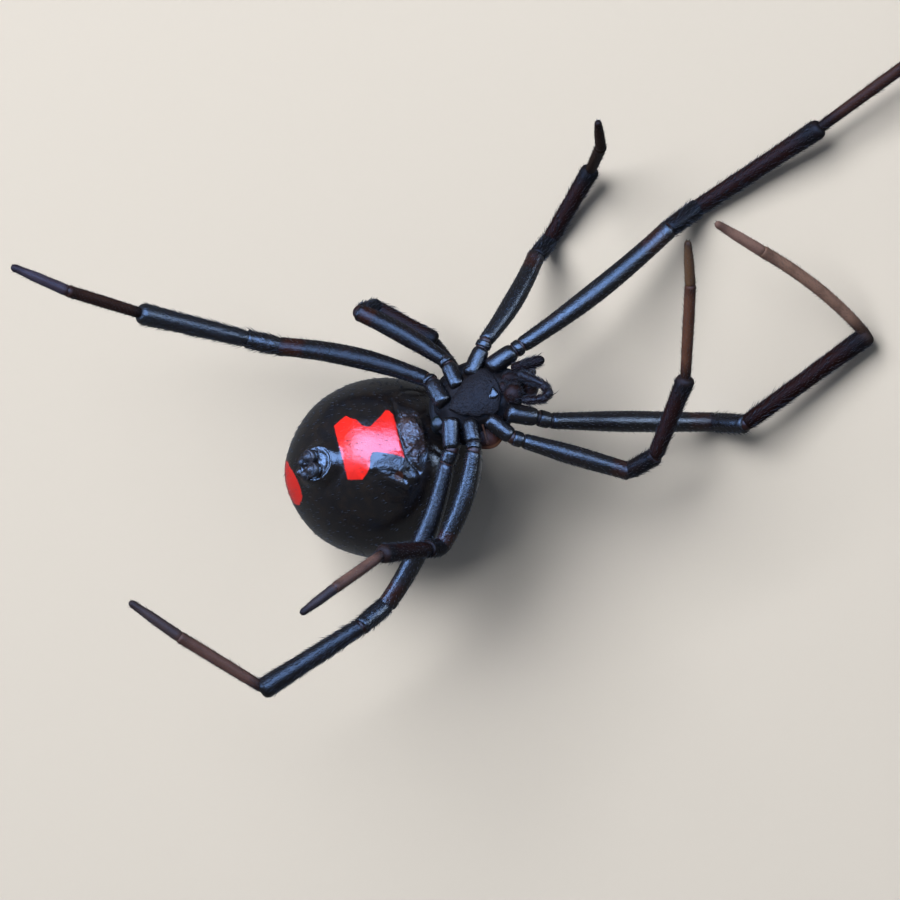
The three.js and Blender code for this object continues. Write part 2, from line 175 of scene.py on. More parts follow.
class SpiderColours(bpy.types.PropertyGroup):
    """Colours of the spider's finishes."""

    black: colour_setting("Black", "Cuticle of the body and the legs", (0.006, 0.006, 0.008))
    brown: colour_setting("Brown", "Cuticle of shins and feelers", (0.045, 0.014, 0.009))
    amber: colour_setting("Amber", "Soft rings between the leg's pieces", (0.034, 0.014, 0.008))
    red: colour_setting("Red", "The hourglass on the belly", (0.80, 0.018, 0.012))


class SpiderStage(bpy.types.PropertyGroup):
    """Floor, light and camera."""

    floor_size: length_setting("Floor", "Side of the floor", 3000.0)
    floor: colour_setting("Floor colour", "Colour of the floor", (0.55, 0.53, 0.50))
    air: colour_setting("Air colour", "Colour of the surrounding light", (0.60, 0.63, 0.68))
    air_strength: FloatProperty(name="Air", description="Strength of the surrounding light", default=0.26)
    sky: colour_setting("Sky", "Colour of the large panel that the cuticle mirrors", (0.27, 0.485, 1.0))
    sky_power: power_setting("Sky power", "Power of the large panel that the cuticle mirrors", 6.5)
    side_power: power_setting("Side power", "Power of each low panel that the cuticle mirrors", 1.6)
    key: colour_setting("Key", "Colour of the panel that lights the matt surfaces", (1.0, 0.97, 0.93))
    key_power: power_setting("Key power", "Power of the panel that lights the matt surfaces", 2.5)
    lens: FloatProperty(name="Lens", description="Focal length", default=200.0, min=1.0, unit="CAMERA")


# Finishes.


class Finish:
    """A material and short calls that add nodes to it."""

    def __init__(self, name):
        self.material = bpy.data.materials.new(name)
        self.material.use_nodes = True
        self.tree = self.material.node_tree
        self.shader = self.tree.nodes["Principled BSDF"]

    def node(self, kind, **settings):
        made = self.tree.nodes.new("ShaderNode" + kind)
        for key, value in settings.items():
            setattr(made, key, value)
        return made

    def feed(self, socket, value):
        if isinstance(value, bpy.types.NodeSocket):
            self.tree.links.new(value, socket)
        else:
            socket.default_value = value

    def set(self, **values):
        """Feeds the shader's inputs, named with underscores for spaces."""
        for key, value in values.items():
            self.feed(self.shader.inputs[key.replace("_", " ")], value)

    def math(self, operation, first, second=0.0):
        made = self.node("Math", operation=operation)
        self.feed(made.inputs[0], first)
        self.feed(made.inputs[1], second)
        return made.outputs[0]

    def ease(self, value, low, high, start=0.0, end=1.0):
        """Start below low, end above high, and a smooth step between them."""
        made = self.node("MapRange", interpolation_type="SMOOTHSTEP")
        for socket, number in zip(made.inputs, (value, low, high, start, end)):
            self.feed(socket, number)
        return made.outputs[0]

    def mix(self, factor, first, second):
        made = self.node("Mix", data_type="RGBA")
        self.feed(made.inputs[0], factor)
        for socket, colour in ((made.inputs[6], first), (made.inputs[7], second)):
            self.feed(socket, colour if isinstance(colour, bpy.types.NodeSocket) else (*colour, 1.0))
        return made.outputs[2]

    def place(self, centre=(0, 0, 0), turn=(0, 0, 0), origin=(0, 0, 0)):
        """Object coordinates as a body frame's own millimetres."""
        heading, pitch, roll = (math.radians(angle) for angle in turn)
        made = self.node("Mapping", vector_type="TEXTURE")
        made.inputs["Location"].default_value = Vector(origin) + Vector(centre) * MM
        made.inputs["Rotation"].default_value = (roll, pitch, heading)
        made.inputs["Scale"].default_value = (MM, MM, MM)
        self.feed(made.inputs["Vector"], self.node("TexCoord").outputs["Object"])
        return made.outputs[0]

    def noise(self, place, per_mm, detail=3.0, distortion=0.0):
        made = self.node("TexNoise")
        self.feed(made.inputs["Vector"], place)
        made.inputs["Scale"].default_value = per_mm
        made.inputs["Detail"].default_value = detail
        made.inputs["Distortion"].default_value = distortion
        return made.outputs[0]

    def apart(self, place, centre, half):
        """Distance from a centre, with half sizes as its units."""
        moved = self.node("VectorMath", operation="SUBTRACT")
        self.feed(moved.inputs[0], place)
        moved.inputs[1].default_value = centre
        sized = self.node("VectorMath", operation="DIVIDE")
        self.feed(sized.inputs[0], moved.outputs[0])
        sized.inputs[1].default_value = half
        length = self.node("VectorMath", operation="LENGTH")
        self.feed(length.inputs[0], sized.outputs[0])
        return length.outputs["Value"]

    def cells(self, place, per_mm):
        """Distance to the nearest of scattered points."""
        made = self.node("TexVoronoi")
        self.feed(made.inputs["Vector"], place)
        made.inputs["Scale"].default_value = per_mm
        return made.outputs["Distance"]

    def ramp(self, value, stops):
        made = self.node("ValToRGB")
        self.feed(made.inputs[0], value)
        points = made.color_ramp.elements
        while len(points) < len(stops):
            points.new(0.5)
        for point, (position, colour) in zip(points, stops):
            point.position = position
            point.color = (*colour, 1.0)
        return made.outputs[0]

    def profile(self, value, places, heights):
        """A height that follows straight lines through given heights at given places."""
        low, span = places[0], places[-1] - places[0]
        tall = max(heights)
        made = self.node("FloatCurve")
        points = made.mapping.curves[0].points
        while len(points) < len(places):
            points.new(0.5, 0.5)
        for point, at, height in zip(points, places, heights):
            point.location = ((at - low) / span, height / tall)
            point.handle_type = "VECTOR"
        made.mapping.update()
        self.feed(made.inputs["Value"], self.math("DIVIDE", self.math("SUBTRACT", value, low), span))
        return self.math("MULTIPLY", made.outputs[0], tall)

    def bump(self, height, microns, normal=None):
        made = self.node("Bump")
        made.inputs["Distance"].default_value = microns * 1e-6
        self.feed(made.inputs["Height"], height)
        if normal is not None:
            self.feed(made.inputs["Normal"], normal)
        return made.outputs[0]


def grained(finish, place, fine=1.0):
    """Fine grain and the pits that bristles grow from, as a normal."""
    grain = finish.noise(place, 16.0, 3.0)
    swell = finish.noise(place, 2.5, 2.0)
    pits = finish.ease(finish.cells(place, 10.0), 0.0, 0.3)
    normal = finish.bump(swell, 14.0 * fine)
    normal = finish.bump(pits, 5.0 * fine, normal)
    return finish.bump(grain, 15.0 * fine, normal)


def darker(colour, factor):
    return tuple(channel * factor for channel in colour)


# Places along a leg count its pieces from the coxa's root, so the femur lies from 1 to 2.
FEMUR_BROWN = 1.9
TIBIA_GLOSS_END = (2.95, 3.1)
# The clouds in the legs' black: the ends of the noise that they take up, and how brown they are there.
CLOUD_NOISE = 1.3
CLOUDS = (0.45, 0.75, 0.0, 0.35)


def clouded(finish, place, base, colours):
    """The colour with browner clouds, and the noise that they follow."""
    patchy = finish.noise(place, CLOUD_NOISE, 4.0)
    return finish.mix(finish.ease(patchy, *CLOUDS), base, darker(colours.brown, 0.3)), patchy


def gloss_finish(colours, name, specular):
    """Glossy black cuticle of the legs, browner in clouds and at the end of the femur."""
    finish = Finish(name)
    place = finish.place()
    reach = finish.node("Attribute", attribute_name="reach").outputs["Fac"]
    base, patchy = clouded(finish, place, tuple(colours.black), colours)
    off_knee = finish.math("ABSOLUTE", finish.math("SUBTRACT", reach, FEMUR_BROWN))
    base = finish.mix(finish.ease(off_knee, 0.04, 0.1, 1.0, 0.0), base, darker(colours.brown, 0.4))
    rough = finish.ease(patchy, 0.3, 0.7, 0.2, 0.28)
    rough = finish.math("ADD", rough, finish.ease(reach, *TIBIA_GLOSS_END, 0.0, 0.08))
    finish.set(Base_Color=base, Roughness=rough, Specular_IOR_Level=specular)
    finish.set(Normal=grained(finish, place, 1.3))
    return finish.material


# Colours of each leg's metatarsus and tarsus: their own browns, with painted light and reflection in the left
# legs' much lighter tones, above all the first leg's.
FOOT_COLOURS_AND_PAINTED_LIGHT = {
    "right_1": ((0.036, 0.016, 0.012), (0.040, 0.020, 0.016)),
    "right_2": ((0.028, 0.014, 0.007), (0.024, 0.013, 0.010)),
    "right_3": ((0.030, 0.016, 0.013), (0.022, 0.017, 0.024)),
    "right_4": ((0.042, 0.019, 0.014), (0.036, 0.031, 0.054)),
    "left_1": ((0.270, 0.172, 0.142), (0.240, 0.152, 0.138)),
    "left_2": ((0.090, 0.042, 0.027), (0.080, 0.046, 0.024)),
    "left_3": ((0.115, 0.070, 0.066), (0.030, 0.026, 0.036)),
    "left_4": ((0.105, 0.060, 0.055), (0.045, 0.034, 0.040)),
}


# How strongly the duller cuticle mirrors, and the leg whose shin is duller still.
DULL_SPECULAR = 0.08
DULLEST_SPECULAR = {"left_1": 0.03}


def shin_finish(name, colours):
    """Duller cuticle from the knee on, whose colour follows the leg's pieces to the tarsus, with painted
    light on the left legs' feet.
    """
    # The left legs' lighter foot and tip colours are painted light and reflection.
    foot, tip = FOOT_COLOURS_AND_PAINTED_LIGHT[name]
    black = tuple(colours.black)
    shin = black if name.endswith("4") else darker(colours.brown, 0.3)
    finish = Finish(f"shin_cuticle_{name}")
    place = finish.place()
    reach = finish.node("Attribute", attribute_name="reach").outputs["Fac"]
    stops = (
        (2.0, black),
        (2.95, black),
        (3.1, shin),
        (3.75, shin),
        (3.95, black),
        (4.1, darker(foot, 0.3)),
        (4.22, foot),
        (4.85, foot),
        (5.0, darker(foot, 0.6)),
        (5.1, tip),
        (5.8, tip),
        (6.0, darker(tip, 0.5)),
    )
    pieces = len(LEG_PIECES)
    stops = [(at / pieces, colour) for at, colour in stops]
    base, _ = clouded(finish, place, finish.ramp(finish.math("DIVIDE", reach, pieces), stops), colours)
    finish.set(Base_Color=base, Roughness=finish.ease(reach, 2.9, 3.2, 0.36, 0.5))
    finish.set(Specular_IOR_Level=DULLEST_SPECULAR.get(name, DULL_SPECULAR))
    finish.set(Normal=grained(finish, place, 1.2))
    return finish.material


def plain_finish(name, colour, roughness, fine=1.0, second=None, specular=0.5):
    """Cuticle of one colour, clouded with a second one, or else with a darker tone of its own."""
    finish = Finish(name)
    place = finish.place()
    patchy = finish.noise(place, 1.6, 4.0)
    second = tuple(second or darker(colour, 0.5))
    base = finish.mix(finish.ease(patchy, 0.35, 0.7), tuple(colour), second)
    finish.set(Base_Color=base, Normal=grained(finish, place, fine))
    finish.set(Roughness=finish.ease(patchy, 0.3, 0.7, roughness, roughness * 1.5))
    finish.set(Specular_IOR_Level=specular)
    return finish.material


# The hourglass, in the abdomen's own frame: its ends, and its half widths at places from back to front.
HOURGLASS_BACK = -1.62
HOURGLASS_FRONT = 0.87
HOURGLASS_PLACES = (-1.8, -1.6, -1.05, -0.75, -0.62, -0.5, -0.34, -0.15, 0.35, 0.6, 0.72, 0.95)
HOURGLASS_RIGHT = (1.1, 1.22, 1.46, 1.18, 1.0, 0.80, 0.68, 0.64, 0.98, 1.22, 1.18, 0.85)
HOURGLASS_LEFT = (1.2, 1.24, 1.42, 1.24, 1.08, 0.68, 0.50, 0.52, 0.74, 0.86, 0.92, 1.05)
HOURGLASS_EDGE = 0.035
# How low the skin lies where the hourglass ends, and the dark dot in its waist.
BELLY_LEVEL = (2.0, 2.3)
HOURGLASS_DOT = (-0.67, 0.06, 3.75)
# Marks and dull areas of the skin, each with its centre and its half sizes.
REAR_SPOT = ((-3.9, 0.1, 0.9), (1.0, 1.1, 0.98))
REAR_SPOT_TILT = 0.33
EPIGYNE_SPOT = ((1.42, -0.1, 3.4), (0.55, 1.05, 1.0))
DULL_SPOT = ((1.5, -0.1, 3.4), (0.62, 1.3, 1.2))
SLIT_SPOT = ((0.46, -1.66, 3.46), (0.2, 0.2, 0.3))
STREAKED_SPOT = ((0.34, -1.12, 3.6), (0.85, 0.48, 0.7))
SOOT = (0.012, 0.009, 0.008)
SMOKY_BROWN = (0.042, 0.028, 0.030)
SLIT_BROWN = (0.045, 0.016, 0.010)


def hourglass_share(finish, place, axes, wobble):
    """1 in the hourglass and 0 outside it, with a slightly uneven edge."""
    along, aside, below = axes
    along_w = finish.math("ADD", along, finish.math("MULTIPLY", wobble, 0.10))
    aside_w = finish.math("ADD", finish.math("ABSOLUTE", aside), finish.math("MULTIPLY", wobble, 0.12))
    right = finish.profile(along_w, HOURGLASS_PLACES, HOURGLASS_RIGHT)
    left = finish.profile(along_w, HOURGLASS_PLACES, HOURGLASS_LEFT)
    on_right = finish.ease(aside, -0.01, 0.01)
    wider = finish.math("MULTIPLY", on_right, finish.math("SUBTRACT", right, left))
    width = finish.math("ADD", left, wider)
    edge = HOURGLASS_EDGE
    inside = finish.ease(finish.math("SUBTRACT", width, aside_w), -edge, edge)
    behind = finish.ease(along_w, HOURGLASS_BACK - edge, HOURGLASS_BACK + edge)
    before = finish.ease(along_w, HOURGLASS_FRONT - edge, HOURGLASS_FRONT + edge, 1.0, 0.0)
    inside = finish.math("MULTIPLY", inside, finish.math("MULTIPLY", behind, before))
    inside = finish.math("MULTIPLY", inside, finish.ease(below, *BELLY_LEVEL))
    dot = finish.node("VectorMath", operation="DISTANCE")
    finish.feed(dot.inputs[0], place)
    dot.inputs[1].default_value = HOURGLASS_DOT
    return finish.math("MULTIPLY", inside, finish.ease(dot.outputs["Value"], 0.05, 0.1, 0.25, 1.0))


def rear_spot_share(finish, axes, wobble):
    """1 in the red spot behind the spinnerets and 0 outside it."""
    along, aside, below = axes
    tilted = finish.math("ADD", below, finish.math("MULTIPLY", aside, REAR_SPOT_TILT))
    place = finish.node("CombineXYZ")
    for socket, value in zip(place.inputs, (along, aside, tilted)):
        finish.feed(socket, value)
    apart = finish.apart(place.outputs[0], *REAR_SPOT)
    return finish.ease(finish.math("ADD", apart, finish.math("MULTIPLY", wobble, 0.2)), 0.97, 1.03, 1.0, 0.0)


def abdomen_finish(colours):
    """Glossy black with the red hourglass, the red spot behind the spinnerets and the brown epigyne."""
    finish = Finish("abdomen_cuticle")
    place = finish.place(ABDOMEN_CENTRE, ABDOMEN_TURN, ORIGIN)
    axes = finish.node("SeparateXYZ")
    finish.feed(axes.inputs[0], place)
    wobble = finish.math("SUBTRACT", finish.noise(place, 3.0, 3.0), 0.5)
    inside = hourglass_share(finish, place, axes.outputs, wobble)
    rear = rear_spot_share(finish, axes.outputs, wobble)
    patchy = finish.noise(place, 2.2, 4.0)
    black = finish.mix(finish.ease(patchy, 0.4, 0.75), tuple(colours.black), SOOT)
    crimson = finish.mix(finish.ease(patchy, 0.35, 0.7), tuple(colours.red), darker(colours.red, 0.72))
    crimson = finish.mix(rear, crimson, darker(colours.red, 0.6))
    base = finish.mix(finish.math("MAXIMUM", inside, rear), black, crimson)
    smoky = finish.math("ADD", finish.apart(place, *EPIGYNE_SPOT), wobble)
    smoky = finish.ease(smoky, 0.75, 1.1, 1.0, 0.0)
    brown = finish.math("MULTIPLY", smoky, finish.ease(patchy, 0.3, 0.65, 0.3, 1.0))
    base = finish.mix(brown, base, SMOKY_BROWN)
    slit = finish.ease(finish.apart(place, *SLIT_SPOT), 0.8, 1.1, 0.8, 0.0)
    streaked = finish.ease(finish.apart(place, *STREAKED_SPOT), 0.7, 1.1, 1.0, 0.0)
    normal = finish.bump(finish.noise(place, 6.0, 4.0), 10.0, grained(finish, place, 0.55))
    wrinkles = finish.math("MULTIPLY", smoky, finish.noise(place, 4.2, 3.0, 0.6))
    streaks = finish.math("MULTIPLY", streaked, finish.noise(place, 3.4, 3.0, 1.5))
    normal = finish.bump(streaks, 75.0, finish.bump(wrinkles, 120.0, normal))
    finish.set(Base_Color=finish.mix(slit, base, SLIT_BROWN), Normal=normal)
    rough = finish.ease(patchy, 0.3, 0.7, 0.12, 0.2)
    dull = finish.ease(finish.apart(place, *DULL_SPOT), 0.8, 1.05, 0.12, 0.0)
    dull = finish.math("ADD", dull, finish.math("MULTIPLY", streaked, 0.2))
    finish.set(Roughness=finish.math("ADD", rough, dull))
    return finish.material


def carapace_finish(colours):
    """Black of the carapace's upper side."""
    finish = Finish("carapace_cuticle")
    place = finish.place(PROSOMA_CENTRE, PROSOMA_TURN, ORIGIN)
    patchy = finish.noise(place, 1.6, 4.0)
    base = finish.mix(finish.ease(patchy, 0.35, 0.7), tuple(colours.black), (0.014, 0.008, 0.006))
    finish.set(Base_Color=base, Normal=grained(finish, place, 0.8))
    finish.set(Roughness=finish.ease(patchy, 0.3, 0.7, 0.16, 0.26))
    return finish.material


# Where the carapace's rim is brown, partly its own colour and partly painted light shining through it,
# between the second and third coxae of the left side, with a painted tan highlight along its edge, and the
# level of that edge.
THROUGH_LIT_RIM = ((-0.1, -1.9, -0.2), (0.8, 0.9, 0.6))
RIM_HIGHLIGHT_LEVEL = -0.17
PAINTED_RIM_HIGHLIGHT = (0.13, 0.062, 0.036)


def rim_finish(colours):
    """Dull black of the carapace's turned-in rim, brown in one place, partly its own colour and partly
    painted light shining through it, with a painted tan highlight line at its edge.
    """
    finish = Finish("carapace_rim")
    place = finish.place(PROSOMA_CENTRE, PROSOMA_TURN, ORIGIN)
    axes = finish.node("SeparateXYZ")
    finish.feed(axes.inputs[0], place)
    patchy = finish.noise(place, 1.6, 4.0)
    # The brown patch is partly the rim's own colour and partly painted light shining through it.
    near = finish.ease(finish.apart(place, *THROUGH_LIT_RIM), 0.7, 1.0, 1.0, 0.0)
    brown = finish.mix(patchy, (0.052, 0.019, 0.010), (0.030, 0.011, 0.007))
    base = finish.mix(near, tuple(colours.black), brown)
    # A painted tan highlight line along the rim's edge within that patch.
    edge = finish.math("ABSOLUTE", finish.math("SUBTRACT", axes.outputs[2], RIM_HIGHLIGHT_LEVEL))
    edge = finish.ease(edge, 0.02, 0.05, 0.7, 0.0)
    base = finish.mix(finish.math("MULTIPLY", edge, near), base, PAINTED_RIM_HIGHLIGHT)
    finish.set(Base_Color=base, Normal=grained(finish, place, 0.8))
    finish.set(Roughness=finish.ease(patchy, 0.3, 0.7, 0.4, 0.5), Specular_IOR_Level=DULL_SPECULAR)
    return finish.material


def sternum_finish(colours):
    """Dull black with a coarse grain."""
    finish = Finish("sternum_cuticle")
    place = finish.place(PROSOMA_CENTRE, PROSOMA_TURN, ORIGIN)
    speckled = finish.cells(place, 11.0)
    grain = finish.noise(place, 12.0, 3.0)
    base = finish.mix(finish.noise(place, 3.0, 4.0), tuple(colours.black), (0.012, 0.011, 0.015))
    normal = finish.bump(finish.ease(speckled, 0.05, 0.5), 14.0)
    finish.set(Base_Color=base, Normal=finish.bump(grain, 40.0, normal))
    finish.set(Roughness=finish.ease(grain, 0.3, 0.7, 0.4, 0.55), Specular_IOR_Level=0.07)
    return finish.material


# Shapes. Each starts as an operator's shape in a bmesh, in millimetres.


def shaped(bm, move):
    """Moves each vertex by a function of its place."""
    for vert in bm.verts:
        vert.co = move(vert.co)
    return bm


def ball(around=32, along=20):
    """A ball of radius 1 with its poles on the X axis."""
    bm = bmesh.new()
    bmesh.ops.create_uvsphere(bm, u_segments=around, v_segments=along, radius=1.0)
    bmesh.ops.rotate(bm, verts=bm.verts, cent=(0, 0, 0), matrix=Matrix.Rotation(-math.pi / 2, 3, "Y"))
    return bm


def spun(profile, sides=32):
    """A closed turned shape about the Z axis from (along, radius) points that end on the axis."""
    bm = bmesh.new()
    verts = [bm.verts.new((radius, 0, along)) for along, radius in profile]
    edges = [bm.edges.new(pair) for pair in zip(verts, verts[1:])]
    bmesh.ops.spin(
        bm,
        geom=verts + edges,
        cent=(0, 0, 0),
        axis=(0, 0, 1),
        dvec=(0, 0, 0),
        angle=math.tau,
        steps=sides,
        use_merge=True,
        use_duplicate=False,
    )
    bmesh.ops.remove_doubles(bm, verts=bm.verts, dist=1e-5)
    bmesh.ops.recalc_face_normals(bm, faces=bm.faces)
    return bm


def gather(target, bm, matrix, material=0, reach=None):
    """Adds a shape to a larger bmesh, placed by a matrix, with its reach along the leg."""
    layer = bm.verts.layers.float.get("reach") or bm.verts.layers.float.new("reach")
    for vert in bm.verts:
        vert[layer] = reach(vert.co) if reach else 0.0
    for face in bm.faces:
        face.material_index = material
        face.smooth = True
    bmesh.ops.transform(bm, matrix=matrix, verts=bm.verts)
    mesh = bpy.data.meshes.new("shape")
    bm.to_mesh(mesh)
    bm.free()
    target.from_mesh(mesh)
    bpy.data.meshes.remove(mesh)


def new_piece(name, bm, materials, replaced=()):
    """A finished bmesh as a piece, kept from sinking into the floor."""
    for vert in bm.verts:
        vert.co.z = max(vert.co.z, 0.0)
    mesh = bpy.data.meshes.new(name)
    bm.to_mesh(mesh)
    bm.free()
    add_piece(name, mesh, materials, replaced)


def add_piece(name, mesh, materials, replaced=()):
    """A mesh as an object that rides on the part and the nodes that it stands in for."""
    for material in materials:
        mesh.materials.append(material)
    piece = bpy.data.objects.new(name, mesh)
    bpy.context.scene.collection.objects.link(piece)
    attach(piece, "root")
    if replaced:
        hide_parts(*replaced)


def new_bmesh():
    """An empty bmesh that keeps the reach of its vertices along the leg."""
    bm = bmesh.new()
    bm.verts.layers.float.new("reach")
    return bm


def smoothstep(value):
    value = min(max(value, 0.0), 1.0)
    return value * value * (3 - 2 * value)


def hill(at, middle, width):
    """1 at the middle, easing off to 0 some widths away."""
    return math.exp(-(((at - middle) / width) ** 2))


def plateau(distance, edge, slope):
    """1 inside an edge, easing to 0 across a slope."""
    return smoothstep((edge - distance) / slope + 0.5)


def from_centre(x, y, centre, half):
    """Distance of a place from a centre, with half sizes as its units."""
    return math.hypot((x - centre[0]) / half[0], (y - centre[1]) / half[1])


def sided(place, side):
    """The place on the right side of the body for 1, mirrored to the left for -1."""
    return Vector((place[0], side * place[1], place[2]))


def girth(radii, share):
    """Radius at a share of a piece's length, eased through a list of evenly spaced radii."""
    step = min(int(share * (len(radii) - 1)), len(radii) - 2)
    part = smoothstep(share * (len(radii) - 1) - step)
    return radii[step] + (radii[step + 1] - radii[step]) * part


def direction(heading, rise):
    """The unit vector of a heading from +X towards +Y and a rise over the floor, in degrees."""
    around, up = math.radians(heading), math.radians(rise)
    return Vector((math.cos(up) * math.cos(around), math.cos(up) * math.sin(around), math.sin(up)))


def rod_frame(start, end):
    """+Z along the rod, +X level and to the left of its heading."""
    along = (end - start).normalized()
    left = Vector((0, 0, 1)).cross(along).normalized()
    over = along.cross(left)
    turn = Matrix((left, over, along)).transposed().to_4x4()
    return Matrix.Translation(start) @ turn


# Ends of a leg's pieces: places from the joint and radii, both as shares of the radius there.
ROOT_PROFILE = ((0.0, 0.6), (0.04, 0.76), (0.12, 0.87), (0.28, 0.94), (0.55, 0.98), (0.9, 1.0))
CUFF_PROFILE = (
    (-0.75, 1.0), (-0.45, 1.01), (-0.2, 1.03), (-0.02, 1.02), (0.09, 0.96), (0.15, 0.84), (0.14, 0.6)
)
KNOB_PROFILE = (
    (-0.75, 1.0), (-0.45, 1.02), (-0.2, 1.02), (0.0, 0.99), (0.16, 0.92), (0.3, 0.79), (0.4, 0.6), (0.44, 0.4)
)
TIP_PROFILE = ((0.5, 0.85), (0.85, 0.5), (1.0, 0.0))
# How deep a dimple closes the cuff, as a share of its radius.
CUFF_DIMPLE = 0.05


def article_profile(length, radii, stations=12, cuff=CUFF_PROFILE):
    """A leg's piece: a neck at its root, the shaft, and a rounded cuff at its far end."""
    near, far = radii[0], radii[-1]
    profile = [(0.0, 0.0)]
    profile += [(at * near, share * near) for at, share in ROOT_PROFILE]
    start, end = ROOT_PROFILE[-1][0] * near, length + cuff[0][0] * far
    for i in range(1, stations):
        at = start + (end - start) * i / stations
        profile.append((at, girth(radii, at / length)))
    profile += [(length + at * far, share * far) for at, share in cuff]
    profile.append((profile[-1][0] - CUFF_DIMPLE * far, 0.0))
    return profile


def barrel_profile(length, radii, stations=24):
    """A leg's piece like a barrel: almost even in girth, rounded off at both ends."""
    profile = [(0.0, 0.0)]
    for i in range(stations + 1):
        level = math.sin((i / stations - 0.5) * math.pi)
        rounded = 1 - 0.12 * level ** 4 - 0.4 * level ** 12
        taper = 1 + (radii[-1] / radii[0] - 1) * (level + 1) / 2
        profile.append(((level + 1) / 2 * length, radii[1] * rounded * taper))
    profile.append((length, 0.0))
    return profile


def knob_profile(length, radii):
    """A leg's piece whose far end is a round knob."""
    return article_profile(length, radii, cuff=KNOB_PROFILE)


def tip_profile(length, radii, stations=14):
    """A leg's last piece: a neck at its root, then a taper to a blunt end."""
    near, far = radii[0], radii[-1]
    profile = [(0.0, 0.0)]
    profile += [(at * near, share * near) for at, share in ROOT_PROFILE]
    start = ROOT_PROFILE[-1][0] * near
    for i in range(1, stations + 1):
        at = start + (length - start) * i / stations
        profile.append((at, girth(radii, at / length)))
    profile += [(length + at * far, share * far) for at, share in TIP_PROFILE]
    return profile


def rod(bm, start, end, radii, make=tip_profile, material=0, sides=32):
    """Adds a turned piece from one place to another."""
    start, end = Vector(start), Vector(end)
    gather(bm, spun(make((end - start).length, radii), sides), rod_frame(start, end), material)


# How much deeper than wide a leg's piece is.
DEPTH_SHARE = 1.05
WIDTH_SHARE = 0.97


def bowed(length, sway):
    """Flattens a piece a little sideways and bows it to its left."""

    def move(place):
        share = min(max(place.z / length, 0.0), 1.0)
        bow = sway * 4 * share * (1 - share)
        return Vector((place.x * WIDTH_SHARE + bow, place.y * DEPTH_SHARE, place.z))

    return move


class LegPiece:
    """One piece of a leg or feeler: its rod from joint to joint, and its place in the leg's order."""

    def __init__(self, start, end, radii, order, span=1.0, sway=0.0, make=article_profile, material=0):
        self.start, self.end = start, end
        self.radii = radii
        self.order, self.span = order, span
        self.make, self.material = make, material
        self.length = (end - start).length
        self.frame = rod_frame(start, end)
        self.bow = bowed(self.length, sway)

    def reach(self, place):
        """How far along the leg a place of this piece lies, counted in pieces."""
        return self.order + self.span * min(max(place.z / self.length, 0), 1)

    def add_to(self, bm):
        shape = shaped(spun(self.make(self.length, self.radii)), self.bow)
        gather(bm, shape, self.frame, self.material, self.reach)

    def surface(self, share, around):
        """A point of the skin with its outward normal, in the pose frame."""
        radius = girth(self.radii, share)
        outward = Vector((math.cos(around), math.sin(around), 0))
        local = self.bow(radius * outward + Vector((0, 0, share * self.length)))
        return self.frame @ local, self.frame.to_3x3() @ outward


def leg_joints(name):
    """The leg's joints in the pose frame, from the prosoma to the tip of the tarsus."""
    side, pair = name.split("_")
    sizes = LEG_PAIRS[pair]
    aside = sizes["aside"] if side == "right" else -sizes["aside"]
    root = POSE_FRAME.inverted() @ (PROSOMA_FRAME @ Vector((sizes["along"], aside, COXA_DEPTH)))
    joints = [root]
    lengths = (POSE[name][0], *sizes["lengths"])
    for length, turn in zip(lengths, POSE[name][1:]):
        joints.append(joints[-1] + direction(turn[0], turn[1]) * length)
    return joints


# Where each coxa's near end lies in the prosoma, how far along the coxa the trochanter begins, and how far
# past the coxa's joint the femur begins.
COXA_ROOTS = {
    "right_1": (0.82, 0.94, 0.62),
    "right_2": (0.02, 0.9, 0.62),
    "right_3": (-0.58, 0.58, 0.64),
    "right_4": (-1.34, 0.07, 0.64),
    "left_1": (0.92, -1.08, 0.6),
    "left_2": (0.1, -1.06, 0.6),
    "left_3": (-0.6, -0.92, 0.6),
    "left_4": (-1.3, -0.5, 0.6),
}
TROCHANTER_SHARE = 0.72
TROCHANTER_SHARES = {"left_4": 0.92, "left_2": 0.98}
FEMUR_STARTS = {"left_4": 0.5, "left_2": 0.45, "left_1": 0.15}
COXA_RADII = {
    "1": (0.38, 0.43, 0.36),
    "2": (0.35, 0.39, 0.33),
    "3": (0.32, 0.36, 0.31),
    "4": (0.36, 0.41, 0.35),
}
TROCHANTER_RADII = (0.35, 0.37, 0.34)
LEG_PROFILES = {"tibia": knob_profile, "metatarsus": knob_profile, "tarsus": tip_profile}
# A leg's materials in order: glossy cuticle, the membranes near the body and at the knees, dull cuticle
# and satin cuticle. Then each leg's finish from the femur to the tarsus.
GLOSS, NEAR_MEMBRANE, KNEE_MEMBRANE, DULL, SATIN = range(5)
LEG_FINISHES = {
    "right_1": (GLOSS, DULL, DULL, DULL, DULL),
    "right_2": (GLOSS, DULL, DULL, DULL, DULL),
    "right_3": (SATIN, DULL, DULL, DULL, DULL),
    "right_4": (SATIN, GLOSS, GLOSS, DULL, DULL),
    "left_1": (GLOSS, GLOSS, DULL, DULL, DULL),
    "left_2": (GLOSS, DULL, DULL, DULL, DULL),
    "left_3": (GLOSS, DULL, DULL, DULL, DULL),
    "left_4": (GLOSS, GLOSS, SATIN, DULL, DULL),
}


